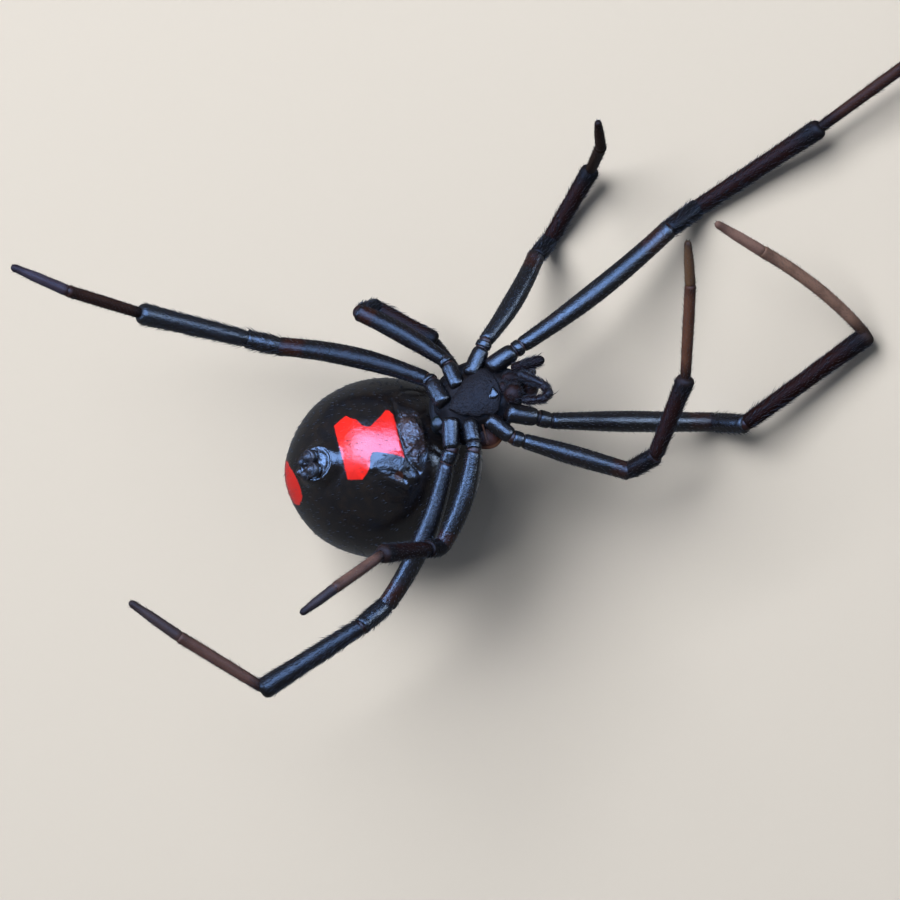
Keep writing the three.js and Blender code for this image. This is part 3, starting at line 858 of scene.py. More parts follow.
def leg_pieces(name):
    """The leg's pieces, with the coxa parted into the coxa and the trochanter ring."""
    joints = leg_joints(name)
    pair = name.split("_")[1]
    stoutness = LEG_PAIRS[pair]["stoutness"]
    share = TROCHANTER_SHARES.get(name, TROCHANTER_SHARE)
    ring = joints[0].lerp(joints[1], share)
    root = POSE_FRAME.inverted() @ (PROSOMA_FRAME @ Vector(COXA_ROOTS[name]))
    joints[1] = joints[1] + (joints[2] - joints[1]).normalized() * FEMUR_STARTS.get(name, 0.0)
    knob = [radius * stoutness for radius in TROCHANTER_RADII]
    pieces = [
        LegPiece(root, ring, COXA_RADII[pair], 0, share, make=barrel_profile),
        LegPiece(ring, joints[1], knob, share, 1 - share, make=barrel_profile),
    ]
    for i in range(1, len(LEG_PIECES)):
        piece, turn = LEG_PIECES[i], POSE[name][i + 1]
        radii = REAR_TIBIA_RADII if pair == "4" and piece == "tibia" else LEG_RADII[piece]
        radii = [radius * stoutness for radius in radii]
        sway = turn[2] if len(turn) > 2 else 0.0
        material = LEG_FINISHES[name][i - 1]
        make = LEG_PROFILES.get(piece, article_profile)
        pieces.append(LegPiece(joints[i], joints[i + 1], radii, i, 1.0, sway, make, material))
    return pieces


# The radius of the soft ball inside a joint, as a share of the radius there.
MEMBRANE_SHARE = 0.86


def joint_ball(bm, piece, radius, material):
    """Adds the soft ball at the root of a piece."""
    place = Matrix.Translation(piece.start) @ Matrix.Scale(radius * MEMBRANE_SHARE, 4)
    gather(bm, ball(24, 16), place, material)


def leg_skin(name, pieces, materials):
    bm = new_bmesh()
    for piece in pieces:
        piece.add_to(bm)
    for near, far in zip(pieces, pieces[1:]):
        material = NEAR_MEMBRANE if far.order <= 1 else KNEE_MEMBRANE
        joint_ball(bm, far, min(near.radii[-1], far.radii[0]), material)
    bmesh.ops.transform(bm, matrix=POSE_FRAME, verts=bm.verts)
    replaced = [f"leg_{name}_{piece}" for piece in LEG_PIECES]
    new_piece(f"leg_{name}_skin", bm, materials, replaced)


# Bristles. Each is a slim cone with one bend.


BRISTLE_SIDES = 3
BRISTLE_BEND = 0.45
# How far the bend leaves the straight line, as a share of the length, and each bristle's patch on the map.
LEAN = 0.16
PATCH = 0.003


def bristle_shape():
    """Vertices and faces, as arrays, of one bristle that is 1 high and 1 in radius."""
    bm = bmesh.new()
    bmesh.ops.create_cone(
        bm, cap_ends=True, segments=BRISTLE_SIDES, radius1=1.0, radius2=0.0, depth=1.0,
        matrix=Matrix.Translation((0, 0, 0.5)),
    )
    parts = bm.verts[:] + bm.edges[:] + bm.faces[:]
    bmesh.ops.bisect_plane(bm, geom=parts, plane_co=(0, 0, BRISTLE_BEND), plane_no=(0, 0, 1))
    bmesh.ops.triangulate(bm, faces=bm.faces)
    bmesh.ops.recalc_face_normals(bm, faces=bm.faces)
    bm.verts.index_update()
    places = np.array([vert.co[:] for vert in bm.verts])
    faces = np.array([[vert.index for vert in face.verts] for face in bm.faces])
    bm.free()
    return places, faces


def bristle_piece(name, roots, material, radius):
    """One mesh of bristles from (root, normal, lie, length, u, v) rows, in millimetres of the pose frame."""
    places, faces = bristle_shape()
    count, size = len(roots), len(places)
    root = np.array([row[0][:] for row in roots])
    normal = np.array([row[1][:] for row in roots])
    lie = np.array([row[2][:] for row in roots])
    length = np.array([row[3] for row in roots])
    patch = np.array([row[4:6] for row in roots])
    lie /= np.linalg.norm(lie, axis=1)[:, None]
    side = np.cross(lie, normal)
    side /= np.linalg.norm(side, axis=1)[:, None]
    back = np.cross(side, lie)
    thick = radius * np.clip(length / 0.2, 0.7, 1.5)
    height = places[:, 2]
    across = places[:, 0][None] * thick[:, None] - (LEAN * height ** 2)[None] * length[:, None]
    points = (
        root[:, None]
        + back[:, None] * across[..., None]
        + side[:, None] * (places[:, 1][None] * thick[:, None])[..., None]
        + lie[:, None] * (height[None] * length[:, None])[..., None]
    )
    points = points.reshape(-1, 3) * MM + np.array(ORIGIN)
    points[:, 2] = np.maximum(points[:, 2], 0.0)
    corners = (faces[None] + (np.arange(count) * size)[:, None, None]).reshape(-1)
    mesh = bpy.data.meshes.new(name)
    mesh.vertices.add(len(points))
    mesh.vertices.foreach_set("co", points.astype(np.float32).ravel())
    mesh.loops.add(len(corners))
    mesh.loops.foreach_set("vertex_index", corners.astype(np.int32))
    triangles = len(corners) // 3
    mesh.polygons.add(triangles)
    mesh.polygons.foreach_set("loop_start", np.arange(triangles, dtype=np.int32) * 3)
    mesh.update(calc_edges=True)
    around = places[:, :2] / 2
    flat = patch[:, None] + around[None] * PATCH
    layer = mesh.uv_layers.new(name="OFBake")
    layer.uv.foreach_set("vector", flat.reshape(-1, 2)[corners].astype(np.float32).ravel())
    add_piece(name, mesh, [material])


# How dense and how long the bristles are on each of a leg's pieces, as shares of the settings.
COATS = ((0.35, 0.6), (0.55, 0.7), (1.0, 1.05), (1.15, 1.0), (1.2, 0.8), (1.3, 0.65))
FEELER_COATS = ((1.0, 1.0),)
# A bristle's rise off the skin in degrees, its drift to a side, its length as a share of the ordinary one,
# and how deep its root stands in the skin.
RISE = (22, 46)
DRIFT = 0.15
LENGTHS = (0.6, 1.2)
ROOT_DEPTH = 0.01
# The longer bristles about the knees: their length and number as shares, and how near the knee they are.
LONG_BRISTLE = 1.7
LONG_SHARE = 0.12
KNEE = 3
KNEE_REACH = 0.35
GOLDEN_ANGLE = math.pi * (3 - math.sqrt(5))


def leg_roots(pieces, density, length, dice, coats=COATS):
    """Rows of bristle roots along the pieces of a leg or feeler, longest about the knees."""
    roots = []
    reach_end = pieces[-1].order + pieces[-1].span
    for piece in pieces:
        dense, long = coats[min(int(piece.order), len(coats) - 1)]
        area = math.tau * sum(piece.radii) / len(piece.radii) * piece.length
        count = int(area * density * dense)
        for i in range(count):
            share = 0.02 + 0.96 * (i + dice.random()) / count
            around = (i * GOLDEN_ANGLE + dice.uniform(-0.2, 0.2)) % math.tau
            root, normal = piece.surface(share, around)
            along = (piece.end - piece.start).normalized()
            rise = math.radians(dice.uniform(*RISE))
            lie = along * math.cos(rise) + normal * math.sin(rise)
            lie += normal.cross(along) * dice.uniform(-DRIFT, DRIFT)
            size = length * long * dice.uniform(*LENGTHS)
            near_knee = KNEE - 1 <= piece.order <= KNEE and abs(piece.order + share - KNEE) < KNEE_REACH
            if near_knee and dice.random() < LONG_SHARE:
                size *= LONG_BRISTLE
            u = (piece.order + piece.span * share) / reach_end
            roots.append((root - normal * ROOT_DEPTH, normal, lie, size, u, around / math.tau))
    return roots


# Operators.


HAIR_BLACK = (0.012, 0.009, 0.009)
HAIR_BROWN = (0.02, 0.014, 0.012)


class SpiderOperator:
    """What the spider's operators share."""

    bl_options = {"REGISTER", "UNDO"}

    @staticmethod
    def sizes(context):
        return context.scene.spider_sizes

    @staticmethod
    def colours(context):
        return context.scene.spider_colours


class SPIDER_OT_legs(SpiderOperator, bpy.types.Operator):
    """Adds the eight legs with their bristles"""

    bl_idname = "spider.legs"
    bl_label = "Legs"

    def execute(self, context):
        sizes, colours = self.sizes(context), self.colours(context)
        amber, brown = colours.amber, colours.brown
        soft = plain_finish("joint_membrane", amber, 0.35, 0.5, darker(amber, 0.25), 0.25)
        dim = plain_finish("knee_membrane", darker(brown, 0.5), 0.35, 0.5, darker(brown, 0.2), 0.25)
        hair = plain_finish("leg_bristle", HAIR_BLACK, 0.4, 0.0)
        gloss = gloss_finish(colours, "leg_gloss", 0.5)
        satin = gloss_finish(colours, "leg_satin", 0.24)
        for number, name in enumerate(POSE):
            pieces = leg_pieces(name)
            leg_skin(name, pieces, [gloss, soft, dim, shin_finish(name, colours), satin])
            dice = random.Random(number)
            roots = leg_roots(pieces, sizes.leg_bristles, sizes.bristle_length / MM, dice)
            bristle_piece(f"leg_{name}_bristles", roots, hair, sizes.bristle_radius / MM)
        return {"FINISHED"}


# Features of the abdomen's skin in its own frame: places along and aside, half sizes, heights, depths and
# widths. A lung cover has a twin on the other side, and so has each of the back's dimples.
UNEVENNESS = 0.05
COLLAR = (-2.58, -0.14)
COLLAR_RADIUS = 0.84
COLLAR_HEIGHT = 0.27
COLLAR_SLOPE = 0.42
COLLAR_RING = (0.63, 0.025)
COLLAR_GROOVE = (0.52, 0.035)
COLLAR_LINE = 0.05
LUNG_COVER = (1.72, 1.42)
LUNG_COVER_HALF = (0.62, 0.54)
LUNG_COVER_HEIGHT = 0.025
LUNG_COVER_EDGE = 0.02
EPIGYNE = (1.5, 0.0)
EPIGYNE_HALF = (0.42, 0.6)
EPIGYNE_HEIGHT = 0.2
EPIGYNE_PIT = (1.24, 0.0)
EPIGYNE_PIT_HALF = (0.13, 0.26)
EPIGYNE_PIT_DEPTH = 0.16
WRINKLES = (1.44, -0.1)
WRINKLES_HALF = (0.52, 1.05)
WRINKLE_HEIGHT = 0.06
STREAKS = (0.35, -1.08)
STREAKS_HALF = (0.75, 0.34)
STREAK_HEIGHT = 0.03
FURROW_DEPTH = 0.1
FURROW_WIDTH = 0.055
FURROW = (
    (0.96, 1.8),
    (1.0, 1.4),
    (1.0, 1.0),
    (0.98, 0.4),
    (0.95, -0.3),
    (0.97, -0.9),
    (1.12, -1.32),
    (1.32, -1.63),
)
# The fold in the skin beside the hourglass's left front lobe: its ridge, the slit below it and the lobe
# below the slit.
FOLD_RIDGE = ((-0.59, -1.15), (-0.08, -1.14), (0.26, -1.28), (0.69, -1.74), (1.08, -1.86))
FOLD_SLIT = ((0.26, -1.48), (0.66, -1.84))
FOLD_LOBE = ((-0.15, -1.52), (0.3, -1.8), (0.62, -2.08))
FOLD_RIDGE_HEIGHT = 0.07
FOLD_LOBE_HEIGHT = 0.06
FOLD_SLIT_DEPTH = 0.12
BACK_DIMPLES = ((1.3, 0.85), (0.1, 1.05), (-1.1, 0.95), (-2.1, 0.75))
BACK_DIMPLE_DEPTH = 0.06
BACK_DIMPLE_RADIUS = 0.1732


def off_path(x, y, path):
    """Distance from a place to a path through given places."""
    best = math.inf
    for (x0, y0), (x1, y1) in zip(path, path[1:]):
        dx, dy = x1 - x0, y1 - y0
        share = min(max(((x - x0) * dx + (y - y0) * dy) / (dx * dx + dy * dy), 0.0), 1.0)
        best = min(best, math.hypot(x - x0 - share * dx, y - y0 - share * dy))
    return best


def collar_relief(x, y):
    """The collar round the spinnerets, with a fine ring and groove inside its edge."""
    ring = math.hypot(x - COLLAR[0], y - COLLAR[1])
    out = COLLAR_HEIGHT * plateau(ring, COLLAR_RADIUS, COLLAR_SLOPE)
    out += COLLAR_RING[1] * hill(ring, COLLAR_RING[0], COLLAR_LINE)
    return out - COLLAR_GROOVE[1] * hill(ring, COLLAR_GROOVE[0], COLLAR_LINE)


def front_relief(x, y):
    """The lung covers, and the furrow and the fine streaks in front of the hourglass and beside it."""
    cover = from_centre(x, abs(y), LUNG_COVER, LUNG_COVER_HALF)
    out = LUNG_COVER_HEIGHT * plateau(cover, 1.0, 0.8) - LUNG_COVER_EDGE * hill(cover, 1.3, 0.14)
    if -0.5 < x < 2:
        out -= FURROW_DEPTH * hill(off_path(x, y, FURROW), 0.0, FURROW_WIDTH)
        streaked = plateau(from_centre(x, y, STREAKS, STREAKS_HALF), 1.0, 0.6)
        out += STREAK_HEIGHT * streaked * noise.noise((2.5 * x + 2.5 * y, 3.5 * y - 1.5 * x, 2.0))
    return out


def epigyne_relief(x, y):
    """The raised plate with its pit, in a wrinkled area."""
    out = EPIGYNE_HEIGHT * plateau(from_centre(x, y, EPIGYNE, EPIGYNE_HALF), 1.0, 0.7)
    out -= EPIGYNE_PIT_DEPTH * hill(from_centre(x, y, EPIGYNE_PIT, EPIGYNE_PIT_HALF), 0.0, 1.0)
    wrinkled = plateau(from_centre(x, y, WRINKLES, WRINKLES_HALF), 1.1, 0.4)
    return out + WRINKLE_HEIGHT * wrinkled * noise.noise((3.4 * x, 2.2 * y, 1.0))


def fold_relief(x, y):
    """The fold beside the hourglass: a ridge, a slit and a lobe."""
    if not (-1.5 < x < 2 and -3 < y < 0):
        return 0.0
    out = FOLD_RIDGE_HEIGHT * hill(off_path(x, y, FOLD_RIDGE), 0.0, 0.13)
    out += FOLD_LOBE_HEIGHT * plateau(off_path(x, y, FOLD_LOBE), 0.2, 0.26)
    return out - FOLD_SLIT_DEPTH * hill(off_path(x, y, FOLD_SLIT), 0.0, 0.075)


def abdomen_relief(x, y, z):
    """How far the abdomen's skin stands out from the plain globe, in millimetres."""
    out = UNEVENNESS * noise.noise((0.5 * x, 0.5 * y, 0.5 * z))
    if z >= 0:
        return out + collar_relief(x, y) + front_relief(x, y) + epigyne_relief(x, y) + fold_relief(x, y)
    for along, aside in BACK_DIMPLES:
        out -= BACK_DIMPLE_DEPTH * hill(math.hypot(x - along, abs(y) - aside), 0.0, BACK_DIMPLE_RADIUS)
    return out


def abdomen_place(p, lift=0.0):
    """A place of the skin from a place on a ball of radius 1."""
    full = 1 - ABDOMEN_REAR_FULLNESS * p.x
    point = 1 + REAR_POINT * max(0.0, p.dot(REAR_POINT_TOWARDS)) ** 8
    plain = Vector((p.x * ABDOMEN_HALF[0], p.y * ABDOMEN_HALF[1] * full, p.z * ABDOMEN_HALF[2] * full))
    plain *= point
    outward = Vector([value / half ** 2 for value, half in zip(plain, ABDOMEN_HALF)]).normalized()
    return plain + outward * (abdomen_relief(*plain) + lift), outward


# Area of the skin in square millimetres, for the number of its bristles.
ABDOMEN_AREA = 60 * math.pi
# How far an abdomen's bristle lies back, how far it stands up, how far it strays, its length as a share of
# the ordinary one, and how deep its root stands.
BELLY_LIE = 0.85
BELLY_RISE = 0.5
BELLY_STRAY = 0.15
BELLY_LENGTHS = (0.5, 0.9)
BELLY_ROOT_DEPTH = 0.012


def scattered(dice, spread):
    return Vector([dice.uniform(-spread, spread) for _ in range(3)])


def abdomen_roots(density, length, dice):
    """Rows of bristle roots scattered over the abdomen, lying towards its rear."""
    to_pose = POSE_FRAME.inverted() @ ABDOMEN_FRAME
    turn = to_pose.to_3x3()
    rearward = Vector((-1, 0, 0))
    roots = []
    for _ in range(int(ABDOMEN_AREA * density)):
        x = dice.uniform(-1, 1)
        around = dice.uniform(0, math.tau)
        ring = math.sqrt(1 - x * x)
        on_ball = Vector((x, ring * math.cos(around), ring * math.sin(around)))
        root, normal = abdomen_place(on_ball, -BELLY_ROOT_DEPTH)
        back = (rearward - normal * normal.dot(rearward)).normalized()
        lie = back * BELLY_LIE + normal * BELLY_RISE + scattered(dice, BELLY_STRAY)
        patch = (0.5 + 0.48 * x, 0.02 + 0.96 * around / math.tau)
        size = length * dice.uniform(*BELLY_LENGTHS)
        roots.append((to_pose @ root, turn @ normal, turn @ lie, size, *patch))
    return roots


class SPIDER_OT_abdomen(SpiderOperator, bpy.types.Operator):
    """Adds the abdomen with its hourglass, epigyne and book-lung covers, and its sparse bristles"""

    bl_idname = "spider.abdomen"
    bl_label = "Abdomen"

    def execute(self, context):
        sizes = self.sizes(context)
        bm = new_bmesh()
        gather(bm, shaped(ball(288, 208), lambda p: abdomen_place(p)[0]), ABDOMEN_FRAME)
        new_piece("abdomen_skin", bm, [abdomen_finish(self.colours(context))], ["abdomen"])
        hair = plain_finish("belly_bristle", HAIR_BLACK, 0.4, 0.0)
        roots = abdomen_roots(sizes.belly_bristles, sizes.bristle_length / MM, random.Random(20))
        bristle_piece("abdomen_bristles", roots, hair, sizes.bristle_radius / MM)
        return {"FINISHED"}


# The spinning tubes, in the abdomen's frame: root, end and radii of the right-hand one of each pair.
SPINNERETS = (
    ((-2.62, 0.36, 3.0), (-3.16, 0.28, 3.42), (0.4, 0.4, 0.28)),
    ((-2.95, 0.34, 2.6), (-3.48, 0.28, 2.98), (0.36, 0.34, 0.23)),
    ((-2.85, 0.12, 2.85), (-3.36, 0.1, 3.22), (0.16, 0.15, 0.1)),
)
ANAL_TUBERCLE = ((-3.1, 0.0, 2.3), (-3.66, 0.0, 2.62), (0.38, 0.32, 0.2))
COLULUS = ((-2.35, 0.0, 3.2), (-2.66, 0.0, 3.52), (0.12, 0.1, 0.05))
SPINNERET_SHIFT = (0.16, -0.12, -0.03)
# Where a tube's last article begins, and its radii as shares of the tube's end.
SPINNERET_JOINT = 0.62
SPINNERET_TIP = (1.15, 1.1, 0.8)


class SPIDER_OT_spinnerets(SpiderOperator, bpy.types.Operator):
    """Adds the six spinning tubes and the tubercle behind them"""

    bl_idname = "spider.spinnerets"
    bl_label = "Spinnerets"

    def execute(self, context):
        bm = new_bmesh()
        for start, end, radii in SPINNERETS:
            for side in (1, -1):
                root, tip = sided(start, side), sided(end, side)
                joint = root.lerp(tip, SPINNERET_JOINT)
                rod(bm, root, joint, radii, article_profile)
                rod(bm, joint, tip, [radii[2] * share for share in SPINNERET_TIP], material=1)
        rod(bm, *ANAL_TUBERCLE)
        rod(bm, *COLULUS)
        shifted = ABDOMEN_FRAME @ Matrix.Translation(SPINNERET_SHIFT)
        bmesh.ops.transform(bm, matrix=shifted, verts=bm.verts)
        colours = self.colours(context)
        dark = plain_finish("spinneret_cuticle", colours.black, 0.22, 1.4, (0.016, 0.012, 0.012))
        pale = plain_finish("spinneret_tip", (0.02, 0.014, 0.014), 0.35, 1.4, colours.black)
        new_piece("spinnerets_skin", bm, [dark, pale], ["spinnerets"])
        return {"FINISHED"}


# Features of the carapace: its pit, the furrows that fan out from it at given angles, the furrow behind the
# head, the rim and the bulge of the left side.
PIT = (-0.47, 0.0)
PIT_HALF = (0.16, 0.3)
PIT_DEPTH = 0.2
FURROW_FAN = (38, 78, 112, 146)
FAN_DEPTH = 0.05
HEAD_FURROW_DEPTH = 0.09
HEAD_SINK = 0.12
RIM_WIDENING = 0.035
RIM_LENGTHENING = 0.02
LEFT_BULGE = 0.15


def carapace_place(p):
    """A place of the carapace from a place on a ball of radius 1."""
    head = smoothstep(p.x)
    narrow = 1 - HEAD_NARROWING * head
    x, y = p.x * CARAPACE_HALF_LENGTH, p.y * CARAPACE_HALF_WIDTH * narrow
    reach = math.hypot(x - PIT[0], y)
    around = math.degrees(math.atan2(abs(y), x - PIT[0]))
    dip = PIT_DEPTH * hill(from_centre(x, y, PIT, PIT_HALF), 0.0, 1.0)
    fan = smoothstep(reach / 0.5) * smoothstep((1.7 - reach) / 0.6)
    for angle in FURROW_FAN:
        dip += FAN_DEPTH * hill(around, angle, 6) * fan
    neck = abs(y) - 0.32 - 0.5 * max(x - 0.1, 0)
    dip += HEAD_FURROW_DEPTH * hill(neck, 0.0, 0.13) * plateau(abs(x - 0.55), 0.6, 0.5)
    rim = hill(p.z, 0.0, 0.09)
    y *= 1 + RIM_WIDENING * rim
    if y < 0:
        y *= 1 + LEFT_BULGE * hill(x, -0.1, 0.8)
    x *= 1 + RIM_LENGTHENING * rim
    if p.z < 0:
        height = p.z * (CARAPACE_RISE - dip)
    else:
        height = p.z * CARAPACE_SKIRT * 0.7
    rough = 0.02 * noise.noise((1.5 * x, 1.5 * y, 3 * p.z))
    return Vector((x, y, height + CARAPACE_OFFSET - HEAD_SINK * head + rough))


# The breast plate's outline from its rear to its front, as (along, half width), and where the coxae cut it.
STERNUM_OUTLINE = (
    (-1.24, 0.0),
    (-1.18, 0.16),
    (-1.0, 0.38),
    (-0.5, 0.76),
    (0.0, 1.0),
    (0.4, 1.08),
    (0.72, 0.98),
    (0.92, 0.66),
    (1.0, 0.42),
    (1.04, 0.0),
)
COXA_SCALLOPS = (-1.1, -0.58, 0.06, 0.86)
SCALLOP_DEPTH = 0.09
STERNUM_DRIFT = -0.22


def outline_width(x):
    """The breast plate's half width at a place along it."""
    for (x0, y0), (x1, y1) in zip(STERNUM_OUTLINE, STERNUM_OUTLINE[1:]):
        if x <= x1:
            return y0 + (y1 - y0) * (x - x0) / (x1 - x0)
    return 0.0


def sternum_place(p):
    """A place of the breast plate from a place on a ball of radius 1."""
    x = -0.1 + 1.14 * p.x
    ring = math.hypot(p.y, p.z)
    across = p.y / ring if ring > 1e-6 else 0.0
    level = p.z / ring if ring > 1e-6 else 0.0
    half = outline_width(x)
    for middle in COXA_SCALLOPS:
        half -= SCALLOP_DEPTH * hill(x, middle, 0.17)
    half = max(half, 0.0)
    dome = 0.16 * math.sqrt(half) if level > 0 else 0.3
    aside = across * half
    drift = STERNUM_DRIFT * smoothstep((0.3 - x) / 1.5)
    return Vector((x, aside + drift, STERNUM_TOP - 0.1 + level * dome - 0.14 * aside * aside))


def blob(bm, half, centre, tilt=0.0, rough=0.02, around=40, along=28):
    """Adds a slightly uneven rounded plate, turned by a tilt in its own level."""
    shape = ball(around, along)

    def move(p):
        swell = 1 + rough * noise.noise((2.2 * p.x + centre[0], 2.2 * p.y + centre[1], 2.2 * p.z))
        return Vector([value * size * swell for value, size in zip(p, half)])

    shaped(shape, move)
    gather(bm, shape, Matrix.Translation(centre) @ Matrix.Rotation(math.radians(tilt), 4, "Z"))


# The soft sides: half sizes and centre. Then the fold in them, between the second and third coxae of
# the left side, whose pale colour is a painted highlight: start, end and radii.
SOFT_SIDES = ((1.86, 1.3, 0.86), (0.05, 0, 0.06))
SIDE_FOLD = ((-0.15, -1.0, 0.42), (-0.22, -1.88, -0.06), (0.05, 0.045, 0.07))
FOLD_PAINTED_HIGHLIGHT = (0.15, 0.08, 0.055)


class SPIDER_OT_prosoma(SpiderOperator, bpy.types.Operator):
    """Adds the carapace, the breast plate and the soft sides between them"""

    bl_idname = "spider.prosoma"
    bl_label = "Prosoma"

    def execute(self, context):
        colours = self.colours(context)
        bm = new_bmesh()
        shell = ball(160, 112)
        below = [face.calc_center_median().z > 0 for face in shell.faces]
        gather(bm, shaped(shell, carapace_place), PROSOMA_FRAME)
        for face, low in zip(bm.faces, below):
            face.material_index = int(low)
        finishes = [carapace_finish(colours), rim_finish(colours)]
        new_piece("carapace", bm, finishes, ["prosoma"])
        bm = new_bmesh()
        blob(bm, *SOFT_SIDES, rough=0.12, around=64, along=48)
        rod(bm, *SIDE_FOLD, material=1)
        bmesh.ops.transform(bm, matrix=PROSOMA_FRAME, verts=bm.verts)
        soft = plain_finish("side_membrane", (0.008, 0.006, 0.006), 0.5, 1.5, colours.black, 0.1)
        # The fold's pale tan colour is a painted highlight.
        pale = plain_finish("side_fold_painted_highlight", FOLD_PAINTED_HIGHLIGHT, 0.4, 1.0, (0.05, 0.022, 0.014), 0.2)
        new_piece("prosoma_sides", bm, [soft, pale])
        bm = new_bmesh()
        gather(bm, shaped(ball(96, 72), sternum_place), PROSOMA_FRAME)
        new_piece("sternum", bm, [sternum_finish(colours)])
        return {"FINISHED"}


# The waist's ends, the first in the abdomen's frame and the second in the prosoma's, and its radii.
PEDICEL_START = (2.62, 0.1, 2.55)
PEDICEL_END = (-1.85, -0.3, 0.06)
PEDICEL_RADII = (0.38, 0.4, 0.3)


class SPIDER_OT_pedicel(SpiderOperator, bpy.types.Operator):
    """Adds the narrow waist between the prosoma and the abdomen"""

    bl_idname = "spider.pedicel"
    bl_label = "Pedicel"

    def execute(self, context):
        to_pose = POSE_FRAME.inverted()
        start = to_pose @ (ABDOMEN_FRAME @ Vector(PEDICEL_START))
        end = to_pose @ (PROSOMA_FRAME @ Vector(PEDICEL_END))
        bm = new_bmesh()
        rod(bm, start, end, PEDICEL_RADII, barrel_profile)
        bmesh.ops.transform(bm, matrix=POSE_FRAME, verts=bm.verts)
        black = self.colours(context).black
        # Black with a faint teal tint that paints the stalk's blue reflection.
        stalk_with_painted_reflection = plain_finish("pedicel_cuticle", (0.006, 0.010, 0.012), 0.3, 1.0, black, 0.36)
        new_piece("pedicel_skin", bm, [stalk_with_painted_reflection], ["pedicel"])
        return {"FINISHED"}


# The eyes of one side: how far aside, their level, and their size as a share of a middle eye.
EYE_PLACES = ((0.16, -0.62, 1.0), (0.42, -0.6, 0.9), (0.15, -0.86, 0.95), (0.44, -0.78, 0.9))
EYE_LIFT = 0.02
# The low ring round an eye: levels, and radii as shares of the eye's.
EYE_RING = ((-0.05, 0.0), (-0.05, 1.3), (0.0, 1.26), (0.035, 1.12), (0.03, 0.95), (0.0, 0.0))


def eye_spot(aside, level, side):
    """Matrix of an eye's place on the head, with +Z out of the head."""
    half = CARAPACE_HALF_WIDTH * (1 - HEAD_NARROWING)
    y, z = aside / half, (level - CARAPACE_OFFSET + HEAD_SINK) / CARAPACE_RISE
    x = math.sqrt(max(0.0, 1 - y * y - z * z)) * CARAPACE_HALF_LENGTH
    outward = Vector((x / CARAPACE_HALF_LENGTH ** 2, aside * side / half ** 2, z / CARAPACE_RISE))
    turn = outward.to_track_quat("Z", "Y").to_matrix().to_4x4()
    return Matrix.Translation((x, aside * side, level)) @ turn


class SPIDER_OT_eyes(SpiderOperator, bpy.types.Operator):
    """Adds the eight eyes in their two rows, each with a low ring round it"""

    bl_idname = "spider.eyes"
    bl_label = "Eyes"

    def execute(self, context):
        radius = self.sizes(context).eye_radius / MM
        glass = Finish("eye")
        glass.set(Base_Color=(0.010, 0.008, 0.009, 1.0), Roughness=0.04, Coat_Weight=0.6)
        rim = plain_finish("eye_ring", self.colours(context).black, 0.3, 0.4)
        ring = [(level, share * radius) for level, share in EYE_RING]
        bm = new_bmesh()
        for aside, level, size in EYE_PLACES:
            for side in (1, -1):
                spot = eye_spot(aside, level, side)
                lifted = spot @ Matrix.Translation((0, 0, EYE_LIFT)) @ Matrix.Scale(radius * size, 4)
                gather(bm, ball(28, 20), lifted)
                gather(bm, spun(ring, 28), spot, 1)
        bmesh.ops.transform(bm, matrix=PROSOMA_FRAME, verts=bm.verts)
        new_piece("eyes", bm, [glass.material, rim])
        return {"FINISHED"}


# The lip and the mouth plates beside it: half sizes, centre and tilt in the prosoma's frame.
MOUTH_PLATES = (
    ((0.24, 0.28, 0.2), (1.14, -0.1, 0.74), 0),
    ((0.42, 0.28, 0.34), (1.6, 0.2, 0.62), -20),
    ((0.4, 0.44, 0.44), (1.47, -0.48, 0.68), 15),
)
# The number of bristles on each of them, and the bristles' lengths.
MOUTH_BRISTLES = 90
MOUTH_LENGTHS = (0.12, 0.26)
# The small glossy triangle at the breast plate's front end.
LIP_PLACE = (0.7, -0.24, 1.05)
# The jaw and the path of its fang, in the prosoma's frame on the right side.
JAW = ((1.95, 0.38, -0.2), (2.46, 0.3, 0.34))
JAW_RADII = (0.3, 0.33, 0.24)
FANG = ((2.52, 0.3, 0.5), (2.46, 0.24, 0.64), (2.34, 0.17, 0.71), (2.2, 0.1, 0.72))
FANG_RADII = (0.11, 0.085, 0.06, 0.03)


def lip_place(p):
    """A place of the triangle, pointed towards the spider's right, from a place on a ball of radius 1."""
    return Vector((p.x * 0.17 * (1.0 - 0.75 * p.y) + 0.06 * p.y, p.y * 0.27, p.z * 0.085))


def mouth_roots(dice):
    """Rows of bristle roots on the mouth plates, lying forwards."""
    to_pose = POSE_FRAME.inverted() @ PROSOMA_FRAME
    turn = to_pose.to_3x3()
    forward = Vector((0.9, 0, 0))
    roots = []
    for half, centre, tilt in MOUTH_PLATES:
        tilted = Matrix.Rotation(math.radians(tilt), 3, "Z")
        for _ in range(MOUTH_BRISTLES):
            level, around = dice.uniform(0.1, 0.9), dice.uniform(0, math.tau)
            ring = math.sqrt(1 - level * level)
            way = Vector((ring * math.cos(around), ring * math.sin(around), level))
            root = Vector(centre) + tilted @ Vector([value * size for value, size in zip(way, half)])
            normal = (tilted @ Vector([value / size for value, size in zip(way, half)])).normalized()
            lie = normal + forward + scattered(dice, 0.3)
            patch = (0.5 + 0.48 * level, around / math.tau)
            size = dice.uniform(*MOUTH_LENGTHS)
            roots.append((to_pose @ root, turn @ normal, turn @ lie, size, *patch))
    return roots


